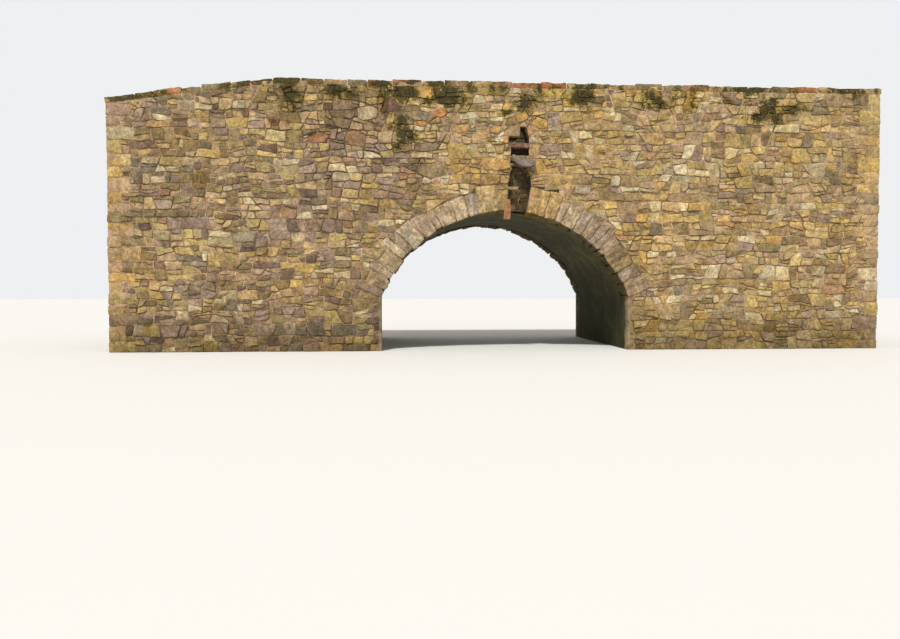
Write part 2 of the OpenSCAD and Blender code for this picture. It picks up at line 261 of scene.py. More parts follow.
def trim(bm, beyond):
    """Trims the stones to a line, which beyond() gives as a distance that is negative past it"""
    lost = []
    for face in list(bm.faces):
        corners = [vert.co.copy() for vert in face.verts]
        depths = [beyond(corner.x, corner.z) for corner in corners]
        if min(depths) > -0.002:
            continue
        if max(depths) < 0.004:
            lost.append(face)
            continue
        crossings = []
        for i, corner in enumerate(corners):
            other = corners[i - 1]
            if (depths[i] < 0) == (depths[i - 1] < 0):
                continue
            kept, gone = (corner, other) if depths[i] > 0 else (other, corner)
            for _ in range(12):
                middle = (kept + gone) / 2
                if beyond(middle.x, middle.z) > 0:
                    kept = middle
                else:
                    gone = middle
            crossings.append((kept + gone) / 2)
        if len(crossings) < 2:
            continue
        start = crossings[0]
        end = max(crossings, key=lambda point: (point - start).length)
        parts = cut(bm, face, (start.x, start.z), math.atan2(end.z - start.z, end.x - start.x))
        for part in parts:
            middle = part.calc_center_median()
            if beyond(middle.x, middle.z) < 0:
                lost.append(part)
    bmesh.ops.delete(bm, geom=lost, context="FACES")


def loosen(bm, seed):
    """Breaks the long joints and lets the courses wave, with the outline left as it is"""
    for longest, cuts in ((0.19, 2), (0.10, 1)):
        long = [edge for edge in bm.edges if edge.calc_length() > longest]
        bmesh.ops.bisect_edges(bm, edges=long, cuts=cuts)
    bmesh.ops.remove_doubles(bm, verts=bm.verts, dist=0.018)
    shift = Vector((seed * 7.3, 0, seed * 3.1))
    for vert in bm.verts:
        if vert.is_boundary:
            continue
        wave = noise.noise_vector(vert.co * 1.3 + shift) * 0.050
        jog = noise.noise_vector(vert.co * 11 + shift) * 0.024
        vert.co.x += wave.x * 0.6 + jog.x
        vert.co.z += wave.z + jog.z


def soften_outline(face, share, rng):
    """Wears the corners of a stone and leaves its outline a little ragged"""
    corners = [vert.co.copy() for vert in face.verts]
    for i, vert in enumerate(face.verts):
        middle = (corners[i - 1] + corners[(i + 1) % len(corners)]) / 2
        vert.co = corners[i].lerp(middle, share)
        vert.co.x += rng.uniform(-0.004, 0.004)
        vert.co.z += rng.uniform(-0.004, 0.004)


def stand_out(bm, faces, ids, stones, shrink, rise, unevenness, shift):
    """Extrudes each stone one step further out of the wall, narrower by a share"""
    grown = bmesh.ops.extrude_discrete_faces(bm, faces=faces)["faces"]
    for face in grown:
        stone = stones[face[ids]]
        for vert in face.verts:
            along = vert.co.x - stone["x"]
            upward = vert.co.z - stone["z"]
            vert.co.x = stone["x"] + along * shrink
            vert.co.z = stone["z"] + upward * shrink
            out = stone["relief"] + along * stone["lean_x"] + upward * stone["lean_z"]
            out += noise.noise(vert.co * 17 + shift) * unevenness
            vert.co.y = -max(0.002, min(MOST_RELIEF, out) * rise)
    return grown


def shade_undersides(faces, ids, stones, gaps):
    """Darkens the joint below a stone that stands out with painted shadow, and keeps the one above it light
    """
    for face in faces:
        stone = stones[face[ids]]
        _, _, low, high = limits([vert.co for vert in face.verts])
        for vert in face.verts:
            level = 2 * (vert.co.z - low) / (high - low + 0.001) - 1
            shade = -0.9 * level if level < 0 else -0.35 * level
            shade *= stone["relief"] / 0.022
            vert[gaps] = clamp(vert[gaps] + shade)


def eroded(along, upward):
    """How far the mortar is gone on the left of the front, where the joints are deep and black with soil and
    painted shade
    """
    far = math.hypot((along + 2.5) / 1.2, (upward - 3.5) / 0.8)
    return clamp(1.5 - far)


def sound(along, upward):
    """Mortar that is whole everywhere"""
    return 0.0


def tuck_in(face, middle, width):
    """Pulls back corners that an inset has thrown far from where they were"""
    for vert in face.verts:
        for edge in vert.link_edges:
            corner = edge.other_vert(vert)
            if corner not in face.verts[:] and (vert.co - corner.co).length > 3.5 * width:
                vert.co = corner.co.lerp(middle, 0.10)


def plan_stones(bm, rng, mix_at, planned, relief):
    """Settles how each stone stands out, leans and looks, and sorts the faces by the width of their joints"""
    ids = bm.faces.layers.int["stone"]
    marks = bm.faces.layers.int["mark"]
    stones = {}
    groups = {width: [] for width in JOINT_WIDTHS}
    for number, face in enumerate(bm.faces, start=1):
        area = face.calc_area()
        if face[marks] == BARE or area < SMALLEST_STONE:
            continue
        middle = face.calc_center_median()
        stone = {
            "x": middle.x, "z": middle.z, "area": area,
            "relief": rng.uniform(*relief) * (0.75 if area < 0.008 else 1),
            "lean_x": rng.gauss(0, 0.09), "lean_z": rng.gauss(0.03, 0.09),
            "tone": pick_tone(rng, mix_at(middle.x, middle.z)),
        }
        stone.update(planned.get(face[marks], {}))
        stones[number] = stone
        face[ids] = number
        width = JOINT_WIDTHS[0] if area < 0.006 else rng.choices(JOINT_WIDTHS, JOINT_SHARES)[0]
        groups[width].append(face)
    return stones, groups


def bed_of_mortar(bm, worn_at, shift):
    """Lets the mortar swell and sink, and notes the painted shade and dirt of its low places"""
    gaps = bm.verts.layers.float["gap"]
    for vert in bm.verts:
        worn = worn_at(vert.co.x, vert.co.z)
        fullness = 0.2 + noise.noise(vert.co * 4.1 + shift) + 0.6 * noise.noise(vert.co * 11)
        fullness = max(0, fullness - 0.45 * worn)
        vert.co.y = -(0.0035 + fullness * 0.014 + noise.noise(vert.co * 23 + shift) * 0.0025)
        # Painted shade where the mortar lies low, and dark soil where it is worn
        vert[gaps] = clamp(0.62 - 2.4 * fullness + 0.4 * worn)


def raise_stones(bm, rng, mix_at, planned=None, relief=(0.007, 0.034), worn_at=sound):
    """Turns every face of the layout into a stone that stands out of a bed of mortar"""
    stones, groups = plan_stones(bm, rng, mix_at, planned or {}, relief)
    ids = bm.faces.layers.int["stone"]
    gaps = bm.verts.layers.float["gap"]
    tones = bm.faces.layers.float_color["tone"]
    for width, faces in groups.items():
        bmesh.ops.inset_individual(bm, faces=faces, thickness=width, depth=0, use_even_offset=True)
        for face in faces:
            stone = stones[face[ids]]
            tuck_in(face, Vector((stone["x"], 0, stone["z"])), width)
    shift = Vector((rng.uniform(0, 50), 0, rng.uniform(0, 50)))
    rising = []
    for faces in groups.values():
        for face in faces:
            face.normal_update()
            left = face.calc_area() / stones[face[ids]]["area"]
            if face.normal.y > -0.5 or not 0.25 < left < 1:
                continue
            soften_outline(face, rng.uniform(0.04, 0.22), rng)
            face.material_index = STONE
            rising.append(face)
    bed_of_mortar(bm, worn_at, shift)
    shade_undersides(rising, ids, stones, gaps)
    for shrink, rise, unevenness, shade_left in RISING_STEPS:
        rising = stand_out(bm, rising, ids, stones, shrink, rise, unevenness, shift)
        for face in rising:
            for vert in face.verts:
                vert[gaps] *= shade_left
    poked = bmesh.ops.poke(bm, faces=rising, center_mode="MEAN_WEIGHTED")
    for vert in poked["verts"]:
        vert.co.y -= 0.002 + noise.noise(vert.co * 31 + shift) * 0.006
    for face in bm.faces:
        face[tones] = stones[face[ids]]["tone"] if face.material_index == STONE else MID_GREY


def rim_of(bm):
    return [edge for edge in bm.edges if edge.is_boundary]


def verts_of(made):
    return [item for item in made["geom"] if isinstance(item, bmesh.types.BMVert)]


def layout_of(bm):
    """Keeps the corners of every face, for the flat back"""
    return [[(vert.co.x, vert.co.z) for vert in face.verts] for face in bm.faces]


def close_back(bm, layout, depth):
    """Gives the facing stones their thickness and a flat back"""
    behind = verts_of(bmesh.ops.extrude_edge_only(bm, edges=rim_of(bm)))
    for vert in behind:
        vert.co.y = depth
    for corners in layout:
        verts = [bm.verts.new((along, depth, upward)) for along, upward in corners]
        bm.faces.new(verts)
        behind += verts
    bmesh.ops.remove_doubles(bm, verts=behind, dist=0.00002)
    flat = [vert for vert in bm.verts if abs(vert.co.y - depth) < ON_PLANE]
    inner = [edge for edge in bm.edges if all(abs(vert.co.y - depth) < ON_PLANE for vert in edge.verts)]
    bmesh.ops.dissolve_limit(bm, angle_limit=0.01, use_dissolve_boundaries=False, verts=flat, edges=inner)
    bmesh.ops.recalc_face_normals(bm, faces=bm.faces)


def mark_stains(bm, stained):
    """Notes on every vertex how much black growth the place carries"""
    layer = bm.verts.layers.float.get("stain") or bm.verts.layers.float.new("stain")
    for vert in bm.verts:
        vert[layer] = stained(vert.co)


def make_piece(name, bm, finishes, slot, stands_for=(), crease=28):
    """Makes a piece of the bridge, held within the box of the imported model"""
    low, high = cad_box
    for vert in bm.verts:
        for axis in range(3):
            vert.co[axis] = max(low[axis], min(high[axis], vert.co[axis]))
    mesh = bpy.data.meshes.new(name)
    bm.to_mesh(mesh)
    bm.free()
    for finish in finishes:
        mesh.materials.append(finish)
    mesh.polygons.foreach_set("use_smooth", [True] * len(mesh.polygons))
    mesh.set_sharp_from_angle(angle=math.radians(crease))
    piece = bpy.data.objects.new(name, mesh)
    bpy.context.collection.objects.link(piece)
    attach(piece, "root")
    if stands_for:
        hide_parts(*stands_for)
    return piece


def new_wall(outline):
    """Starts a wall as one face that looks towards -Y, with X along it and Z up"""
    bm = bmesh.new()
    bm.faces.layers.int.new("stone")
    bm.faces.layers.int.new("mark")
    bm.faces.layers.float_color.new("tone")
    bm.verts.layers.float.new("stain")
    bm.verts.layers.float.new("gap")
    bm.verts.layers.float.new("lime")
    bm.faces.new([bm.verts.new((along, 0, upward)) for along, upward in outline])
    return bm


def set_planned_stone(bm, outline, number):
    """Puts one stone with a known outline into the layout, and marks it with a number"""
    inside = cut_out(bm, outline)
    if len(inside) > 1:
        inside = bmesh.ops.dissolve_faces(bm, faces=inside, use_verts=False)["region"]
    for face in inside:
        face[bm.faces.layers.int["mark"]] = number


def place(bm, turn, offset):
    """Turns a piece about the vertical and moves it to its place"""
    bmesh.ops.transform(
        bm, matrix=Matrix.Translation(offset) @ Matrix.Rotation(turn, 4, "Z"), verts=bm.verts)


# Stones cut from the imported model


def copy_of(*nodes):
    """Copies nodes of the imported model, as blocks with whole faces"""
    bm = bmesh.new()
    for node in nodes:
        bm.from_mesh(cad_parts[node].data)
    bmesh.ops.remove_doubles(bm, verts=bm.verts, dist=0.00001)
    bmesh.ops.dissolve_limit(bm, angle_limit=0.02, verts=bm.verts, edges=bm.edges)
    return bm


def middle_of(block):
    return sum((vert.co for vert in block), Vector()) / len(block)


def blocks_of(bm):
    """Lists the vertices of each separate block, always in the same order"""
    seen = set()
    blocks = []
    for first in bm.verts:
        if first in seen:
            continue
        seen.add(first)
        block = [first]
        for vert in block:
            for edge in vert.link_edges:
                other = edge.other_vert(vert)
                if other not in seen:
                    seen.add(other)
                    block.append(other)
        blocks.append(block)
    return sorted(blocks, key=lambda block: [round(value, 2) for value in middle_of(block)])


def refine(bm, longest):
    """Divides the edges until none is longer than given"""
    for _ in range(7):
        long = [edge for edge in bm.edges if edge.calc_length() > longest]
        if not long:
            break
        bmesh.ops.subdivide_edges(bm, edges=long, cuts=1, use_grid_fill=True)


def hew(bm, rng, chamfer=0.012, spacing=0.065, skew=0.010, unevenness=0.006):
    """Gives clean blocks worn edges and an uneven, split surface"""
    bmesh.ops.bevel(
        bm, geom=bm.edges[:], offset=chamfer, affect="EDGES", segments=2, profile=0.5, material=-1)
    refine(bm, spacing)
    bm.normal_update()
    blocks = blocks_of(bm)
    for block in blocks:
        shift = Vector((rng.uniform(0, 90), rng.uniform(0, 90), rng.uniform(0, 90)))
        moves = []
        for vert in block:
            bend = noise.noise_vector(vert.co * 3.2 + shift) * skew
            bend += noise.noise_vector(vert.co * 9 + shift) * skew * 0.5
            bend.y *= 0.4
            dent = noise.noise(vert.co * 14 + shift) * unevenness
            chip = noise.noise(vert.co * 37 + shift) * unevenness * 0.4
            moves.append(bend + vert.normal * (dent + chip))
        for vert, move in zip(block, moves):
            vert.co += move
    return blocks


def colour_blocks(bm, tone_of):
    """Gives each separate block one colour"""
    tones = bm.faces.layers.float_color.new("tone")
    for block in blocks_of(bm):
        tone = tone_of(middle_of(block))
        for vert in block:
            for face in vert.link_faces:
                face[tones] = tone


# Finishes


def new_finish(name):
    finish = bpy.data.materials.new(name)
    finish.use_nodes = True
    tree = finish.node_tree
    return finish, tree, tree.nodes["Principled BSDF"]


def add(tree, kind, **settings):
    """Adds a node: a setting names one of its values, and one with a capital an input"""
    node = tree.nodes.new(kind)
    for key, value in settings.items():
        if key[0].isupper():
            node.inputs[key.replace("_", " ")].default_value = value
        else:
            setattr(node, key, value)
    return node


def feed(tree, value, socket):
    """Gives an input a fixed value, or links it to another node's output"""
    if isinstance(value, (int, float, tuple)):
        socket.default_value = value
    else:
        tree.links.new(value, socket)


def place_of(tree, output="Object"):
    return tree.nodes.new("ShaderNodeTexCoord").outputs[output]


def noted(tree, name, output="Fac"):
    """Reads what the mesh carries under a name"""
    return add(tree, "ShaderNodeAttribute", attribute_name=name).outputs[output]


def axis_of(tree, where, axis):
    node = tree.nodes.new("ShaderNodeSeparateXYZ")
    feed(tree, where, node.inputs[0])
    return node.outputs[axis]


def noise_node(tree, where, scale, detail=4.0, rough=0.6, distortion=0.0):
    node = add(tree, "ShaderNodeTexNoise", Scale=scale, Detail=detail, Roughness=rough, Distortion=distortion)
    feed(tree, where, node.inputs["Vector"])
    return node.outputs["Fac"]


def voronoi_node(tree, where, scale):
    node = add(tree, "ShaderNodeTexVoronoi", Scale=scale)
    feed(tree, where, node.inputs["Vector"])
    return node


def steps(tree, value, low, high, first=0.0, last=1.0):
    """Maps a value smoothly from one range to another, held at both ends"""
    node = add(
        tree, "ShaderNodeMapRange", clamp=True, interpolation_type="SMOOTHSTEP",
        From_Min=low, From_Max=high, To_Min=first, To_Max=last)
    feed(tree, value, node.inputs["Value"])
    return node.outputs["Result"]


def calculate(tree, operation, *values):
    node = add(tree, "ShaderNodeMath", operation=operation)
    for value, socket in zip(values, node.inputs):
        feed(tree, value, socket)
    return node.outputs[0]


def weighted_sum(tree, *terms):
    """Adds up values, each times its weight"""
    total = None
    for value, weight in terms:
        part = value if weight == 1 else calculate(tree, "MULTIPLY", value, weight)
        total = part if total is None else calculate(tree, "ADD", total, part)
    return total


def vector_step(tree, operation, one, other=None):
    """One step with vectors, which gives a vector or, for a length or a product, a value"""
    node = add(tree, "ShaderNodeVectorMath", operation=operation)
    feed(tree, one, node.inputs[0])
    if other is not None:
        feed(tree, other, node.inputs["Scale" if operation == "SCALE" else 1])
    return node.outputs["Value" if operation in ("LENGTH", "DOT_PRODUCT") else "Vector"]


def blend_colours(tree, share, one, other, mode="MIX"):
    node = add(tree, "ShaderNodeMix", data_type="RGBA", blend_type=mode)
    sockets = [socket for socket in node.inputs if socket.type == "RGBA"]
    feed(tree, share, node.inputs[0])
    feed(tree, one, sockets[0])
    feed(tree, other, sockets[1])
    return [socket for socket in node.outputs if socket.type == "RGBA"][0]


def two_tone(tree, value, low, high, dark, pale):
    return blend_colours(tree, steps(tree, value, low, high), dark, pale)


def speckle(tree, colour, value, low, high, share, speck):
    """Brings in a second colour where a value is high"""
    return blend_colours(tree, steps(tree, value, low, high, 0.0, share), colour, speck)


def tint(tree, share, colour, tone):
    """Multiplies a colour by a tone, as far as the share goes"""
    return blend_colours(tree, share, colour, blend_colours(tree, 1.0, colour, tone, "MULTIPLY"))


def lighten(tree, colour, light):
    """Multiplies a colour by a level of light"""
    grey = tree.nodes.new("ShaderNodeCombineColor")
    for channel in grey.inputs:
        feed(tree, light, channel)
    return blend_colours(tree, 1.0, colour, grey.outputs[0], "MULTIPLY")


def new_group(name, inputs, outputs):
    """Starts a node group: inputs come as name, kind and first value, outputs as name and kind"""
    group = bpy.data.node_groups.new(name, "ShaderNodeTree")
    for label, kind, value in inputs:
        socket = group.interface.new_socket(label, in_out="INPUT", socket_type="NodeSocket" + kind)
        socket.default_value = value
    for label, kind in outputs:
        group.interface.new_socket(label, in_out="OUTPUT", socket_type="NodeSocket" + kind)
    entry = group.nodes.new("NodeGroupInput").outputs
    result = group.nodes.new("NodeGroupOutput").inputs
    return group, entry, result


def stone_grain_group():
    """Mottling, grain and pits of a stone that is broken, not sawn"""
    group, entry, result = new_group(
        "stone grain",
        [("Colour", "Color", MID_GREY), ("Size", "Float", 1.0), ("Contrast", "Float", 1.0)],
        [("Colour", "Color"), ("Height", "Float"), ("Roughness", "Float")])
    where = vector_step(group, "SCALE", place_of(group), entry["Size"])
    cloud = noise_node(group, where, 7.0, 5.0, 0.62, 0.4)
    grain = noise_node(group, where, 22.0, 9.0, 0.78)
    sand = noise_node(group, where, 190.0, 2.0, 0.6)
    band = noise_node(group, where, 3.2, 3.0, 0.5)
    hollow = steps(group, voronoi_node(group, where, 62.0).outputs["Distance"], 0.05, 0.30)
    light = steps(group, cloud, 0.25, 0.78, 0.66, 1.30)
    light = calculate(group, "MULTIPLY", light, steps(group, grain, 0.30, 0.70, 0.50, 1.50))
    light = calculate(group, "MULTIPLY", light, steps(group, sand, 0.3, 0.7, 0.86, 1.12))
    light = calculate(group, "MULTIPLY", light, steps(group, hollow, 0.0, 1.0, 0.74, 1.03))
    spread = calculate(group, "SUBTRACT", light, 1.0)
    spread = calculate(group, "MULTIPLY", spread, entry["Contrast"])
    colour = lighten(group, entry["Colour"], calculate(group, "ADD", spread, 1.0))
    rusty = steps(group, band, 0.50, 0.72, 0.0, 0.45)
    colour = tint(group, rusty, colour, (1.10, 0.95, 0.68, 1))
    height = weighted_sum(group, (grain, 0.55), (cloud, 0.9), (sand, 0.14), (hollow, 0.25))
    feed(group, colour, result["Colour"])
    feed(group, height, result["Height"])
    feed(group, steps(group, grain, 0.3, 0.7, 0.84, 0.97), result["Roughness"])
    return group


def weather_group():
    """Black-green growth, lime, painted shade and soil in the joints, dirt and a damp foot, over whatever
    lies beneath
    """
    group, entry, result = new_group(
        "weather", [("Colour", "Color", MID_GREY), ("Growth", "Float", 1.0)], [("Colour", "Color")])
    where = place_of(group)
    patch = noise_node(group, where, 3.6, 9.0, 0.66, 0.3)
    crumbs = noise_node(group, where, 34.0, 5.0, 0.72)
    wash = noise_node(group, where, 1.3, 7.0, 0.62, 0.4)
    soot = noise_node(group, where, 1.6, 5.0, 0.6)

    reach = calculate(group, "MULTIPLY", noted(group, "stain"), entry["Growth"])
    edge = weighted_sum(group, (patch, 0.70), (crumbs, 0.30))
    grown = weighted_sum(group, (edge, 1), (reach, 0.225))
    fringe = steps(group, grown, 0.595, 0.635, 0.0, 0.8)
    colour = tint(group, fringe, entry["Colour"], (0.62, 0.62, 0.26, 1))
    growth = two_tone(group, crumbs, 0.40, 0.66, paint(36, 36, 21), paint(92, 82, 46))
    colour = speckle(group, colour, grown, 0.635, 0.670, 0.93, growth)

    lime = weighted_sum(group, (noted(group, "lime"), 1), (crumbs, 0.9))
    colour = speckle(group, colour, lime, 0.85, 1.05, 0.85, paint(224, 211, 196))
    # Painted shade in low joints and below stones that stand out, with dark soil where the mortar is worn
    shade = calculate(group, "MULTIPLY", noted(group, "gap"), steps(group, crumbs, 0.3, 0.6, 0.25, 0.95))
    colour = tint(group, shade, colour, (0.20, 0.17, 0.13, 1))

    colour = tint(group, steps(group, wash, 0.46, 0.62, 0.0, 0.6), colour, (1.055, 0.97, 0.725, 1))
    colour = tint(group, steps(group, soot, 0.45, 0.70, 0.0, 0.46), colour, (0.50, 0.48, 0.41, 1))
    rise = weighted_sum(group, (axis_of(group, where, "Z"), 1), (patch, -0.6))
    colour = tint(group, steps(group, rise, -0.25, 0.7, 0.72, 0.0), colour, (0.42, 0.41, 0.31, 1))
    feed(group, colour, result["Colour"])
    return group


def arch_grain_group():
    """Cleavage that runs towards the middle of the arch, and damp with painted shade inside the arch and on
    the undersides of its stones
    """
    group, entry, result = new_group(
        "arch grain", [("Colour", "Color", MID_GREY)], [("Colour", "Color"), ("Height", "Float")])
    spot = place_of(group)
    from_middle = vector_step(group, "SUBTRACT", spot, (0, 0, ARCH_Z))
    flat = vector_step(group, "MULTIPLY", from_middle, (1, 0, 1))
    spoke = vector_step(group, "NORMALIZE", flat)
    radius = vector_step(group, "LENGTH", flat)
    around = vector_step(group, "SCALE", spoke, ARCH_RADIUS * 16)
    inwards = vector_step(group, "MULTIPLY", spot, (0, 5, 0))
    cleavage = add(group, "ShaderNodeTexNoise", noise_dimensions="4D", Scale=1.0, Detail=5.0, Roughness=0.7)
    feed(group, vector_step(group, "ADD", around, inwards), cleavage.inputs["Vector"])
    feed(group, calculate(group, "MULTIPLY", radius, 3.5), cleavage.inputs["W"])
    layers = cleavage.outputs["Fac"]
    colour = lighten(group, entry["Colour"], steps(group, layers, 0.34, 0.66, 0.70, 1.18))
    from_axis = calculate(group, "ABSOLUTE", axis_of(group, spot, "Y"))
    facing = vector_step(group, "DOT_PRODUCT", spoke, place_of(group, "Normal"))
    # Darker inside the arch and on faces that look down: damp, and painted shade
    deep = steps(group, from_axis, 1.88, 1.95, 0.95, 0.0)
    under = steps(group, facing, -0.85, -0.45, 0.9, 0.0)
    damp = calculate(group, "MAXIMUM", deep, under)
    feed(group, tint(group, damp, colour, (0.30, 0.30, 0.20, 1)), result["Colour"])
    feed(group, layers, result["Height"])
    return group


STONE_GRAIN = stone_grain_group()
WEATHER = weather_group()
ARCH_GRAIN = arch_grain_group()


def use_group(tree, group, **values):
    node = tree.nodes.new("ShaderNodeGroup")
    node.node_tree = group
    for key, value in values.items():
        feed(tree, value, node.inputs[key])
    return node.outputs


def surface(tree, shader, colour, height, depth, roughness=0.95, sheen=0.5):
    """Gives a finish its colour, its fine relief and its sheen"""
    bump = add(tree, "ShaderNodeBump", Strength=0.9, Distance=depth)
    feed(tree, height, bump.inputs["Height"])
    feed(tree, bump.outputs[0], shader.inputs["Normal"])
    feed(tree, colour, shader.inputs["Base Color"])
    feed(tree, roughness, shader.inputs["Roughness"])
    feed(tree, sheen, shader.inputs["Specular IOR Level"])


def stone_finish(name, size, contrast, growth, depth, in_arch=False):
    """Finish of a stone whose own colour is noted on its mesh"""
    finish, tree, shader = new_finish(name)
    tone = noted(tree, "tone", "Color")
    grain = use_group(tree, STONE_GRAIN, Colour=tone, Size=size, Contrast=contrast)
    colour = use_group(tree, WEATHER, Colour=grain["Colour"], Growth=growth)["Colour"]
    height = grain["Height"]
    if in_arch:
        arch = use_group(tree, ARCH_GRAIN, Colour=colour)
        colour = arch["Colour"]
        height = weighted_sum(tree, (height, 1), (arch["Height"], 0.8))
    surface(tree, shader, colour, height, depth, grain["Roughness"], 0.25)
    return finish


def mortar_finish(name, in_arch=False):
    """Lime mortar, pinkish beige and sandy, smeared lighter in places and worn dark in others"""
    finish, tree, shader = new_finish(name)
    where = place_of(tree)
    smear = noise_node(tree, where, 2.6, 5.0, 0.6, 0.3)
    sand = noise_node(tree, where, 85.0, 4.0, 0.7)
    lumps = noise_node(tree, where, 24.0, 4.0, 0.65)
    colour = two_tone(tree, smear, 0.36, 0.66, paint(152, 125, 98), paint(207, 176, 147))
    colour = speckle(tree, colour, lumps, 0.45, 0.72, 0.55, paint(122, 99, 70))
    colour = speckle(tree, colour, sand, 0.50, 0.70, 0.5, paint(222, 204, 174))
    colour = use_group(tree, WEATHER, Colour=colour, Growth=1.1)["Colour"]
    if in_arch:
        colour = use_group(tree, ARCH_GRAIN, Colour=colour)["Colour"]
    surface(tree, shader, colour, weighted_sum(tree, (lumps, 1), (sand, 0.35)), 0.008, sheen=0.2)
    return finish


def render_coat_finish():
    """Old lime render on the vault and the jambs, almost black with damp and streaked downward, darker still
    towards the bottom with damp and painted shade
    """
    finish, tree, shader = new_finish("render_coat")
    where = place_of(tree)
    squeeze = add(tree, "ShaderNodeMapping", Scale=(1.0, 1.0, 0.12))
    feed(tree, where, squeeze.inputs["Vector"])
    streak = noise_node(tree, squeeze.outputs[0], 9.0, 6.0, 0.68, 0.2)
    cloud = noise_node(tree, where, 2.2, 6.0, 0.62, 0.3)
    patch = noise_node(tree, where, 7.0, 6.0, 0.7, 0.3)
    grit = noise_node(tree, where, 55.0, 4.0, 0.7)
    colour = two_tone(tree, streak, 0.38, 0.62, paint(56, 56, 33), paint(90, 87, 53))
    colour = speckle(tree, colour, cloud, 0.46, 0.70, 0.6, paint(116, 110, 74))
    # Darker and greener towards the bottom: damp near the water, and painted shade low under the arch
    rise = weighted_sum(tree, (axis_of(tree, where, "Z"), 1), (cloud, 0.8))
    colour = tint(tree, steps(tree, rise, 1.0, 2.1, 0.85, 0.0), colour, (0.42, 0.46, 0.36, 1))
    bare = weighted_sum(tree, (noted(tree, "worn"), 1), (patch, 1.4))
    bared_stone = two_tone(tree, patch, 0.35, 0.65, paint(104, 91, 66), paint(156, 136, 104))
    colour = speckle(tree, colour, bare, 1.16, 1.34, 1.0, bared_stone)
    colour = speckle(tree, colour, grit, 0.5, 0.75, 0.35, paint(112, 106, 74))
    height = weighted_sum(tree, (cloud, 0.8), (grit, 0.3), (streak, 0.4))
    surface(tree, shader, colour, height, 0.010, steps(tree, streak, 0.3, 0.7, 0.72, 0.95), 0.15)
    return finish


def gravel_finish():
    """Trodden gravel and earth, with dustier wheel tracks that come and go"""
    finish, tree, shader = new_finish("road_gravel")
    where = place_of(tree)
    pebbles = voronoi_node(tree, where, 38.0)
    from_pebble = pebbles.outputs["Distance"]
    hue = tree.nodes.new("ShaderNodeSeparateColor")
    feed(tree, pebbles.outputs["Color"], hue.inputs[0])
    cloud = noise_node(tree, where, 1.1, 6.0, 0.65, 0.5)
    dust = noise_node(tree, where, 5.0, 6.0, 0.7, 0.3)
    fine = noise_node(tree, where, 90.0, 4.0, 0.75)
    stones = blend_colours(tree, hue.outputs[0], paint(122, 108, 88), paint(168, 154, 130))
    earth = two_tone(tree, dust, 0.35, 0.65, paint(104, 88, 64), paint(148, 128, 98))
    bare = weighted_sum(tree, (cloud, 1), (noted(tree, "worn"), 0.16), (dust, 0.35))
    colour = blend_colours(tree, steps(tree, bare, 0.56, 0.82, 0.35, 0.95), stones, earth)
    colour = speckle(tree, colour, from_pebble, 0.4, 0.7, 0.6, paint(88, 74, 54))
    colour = speckle(tree, colour, fine, 0.45, 0.75, 0.45, paint(92, 78, 58))
    surface(tree, shader, colour, weighted_sum(tree, (fine, 0.5), (from_pebble, -1.0)), 0.010)
    return finish


def earth_finish():
    """Dark damp earth and rubble inside the bridge"""
    finish, tree, shader = new_finish("damp_earth")
    where = place_of(tree)
    clod = noise_node(tree, where, 12.0, 6.0, 0.7, 0.3)
    crumb = noise_node(tree, where, 60.0, 4.0, 0.7)
    colour = two_tone(tree, clod, 0.35, 0.68, paint(48, 42, 30), paint(96, 80, 56))
    colour = speckle(tree, colour, crumb, 0.5, 0.75, 0.5, paint(122, 104, 76))
    surface(tree, shader, colour, weighted_sum(tree, (clod, 1), (crumb, 0.4)), 0.012)
    return finish


def silt_finish():
    """Reddish dirt that has washed onto the sills"""
    finish, tree, shader = new_finish("reddish_silt")
    where = place_of(tree)
    clod = noise_node(tree, where, 30.0, 5.0, 0.7, 0.4)
    crumb = noise_node(tree, where, 110.0, 3.0, 0.7)
    colour = two_tone(tree, clod, 0.40, 0.62, paint(70, 48, 38), paint(140, 104, 80))
    colour = speckle(tree, colour, crumb, 0.50, 0.66, 0.7, paint(186, 156, 128))
    surface(tree, shader, colour, weighted_sum(tree, (clod, 1), (crumb, 0.5)), 0.014)
    return finish


def rust_finish():
    """Old flat iron, flaking, with brighter rust in patches"""
    finish, tree, shader = new_finish("rusted_iron")
    where = place_of(tree)
    flake = noise_node(tree, where, 26.0, 6.0, 0.7, 0.5)
    speck = noise_node(tree, where, 130.0, 4.0, 0.7)
    colour = two_tone(tree, flake, 0.36, 0.64, paint(128, 84, 52), paint(176, 132, 88))
    colour = speckle(tree, colour, speck, 0.48, 0.72, 0.6, paint(94, 60, 42))
    surface(tree, shader, colour, weighted_sum(tree, (flake, 1), (speck, 0.4)), 0.004, 0.86)
    shader.inputs["Metallic"].default_value = 0.1
    return finish


RUBBLE = stone_finish("rubble_stone", size=1.0, contrast=1.0, growth=1.0, depth=0.016)
VOUSSOIR_STONE = stone_finish("dressed_stone", size=0.9, contrast=1.0, growth=0.55, depth=0.016)
ARCH_STONE = stone_finish("arch_stone", size=0.9, contrast=1.1, growth=0.55, depth=0.018, in_arch=True)
COPING_STONE = stone_finish("coping_stone", size=1.0, contrast=1.0, growth=1.1, depth=0.016)
WORN_STONE = stone_finish("grey_stone", size=1.2, contrast=0.7, growth=0.25, depth=0.006)
LIME = mortar_finish("lime_mortar")
ARCH_LIME = mortar_finish("arch_mortar", in_arch=True)
COAT = render_coat_finish()
GRAVEL = gravel_finish()
EARTH = earth_finish()
SILT = silt_finish()
IRON = rust_finish()


# The walls


def growth_near(spots, base_z):
    """Black growth on given spots of a wall, and in a thin band below the coping"""
    def stained(place_on_wall):
        amount = 0.0
        for x, z, reach_x, reach_z, strength in spots:
            far = math.hypot((place_on_wall.x - x) / reach_x, (place_on_wall.z - z) / reach_z)
            amount = max(amount, strength * (1.25 - far))
        band = (place_on_wall.z - base_z) / 0.45
        return clamp(max(amount, min(0.75, band) * 0.7))
    return stained


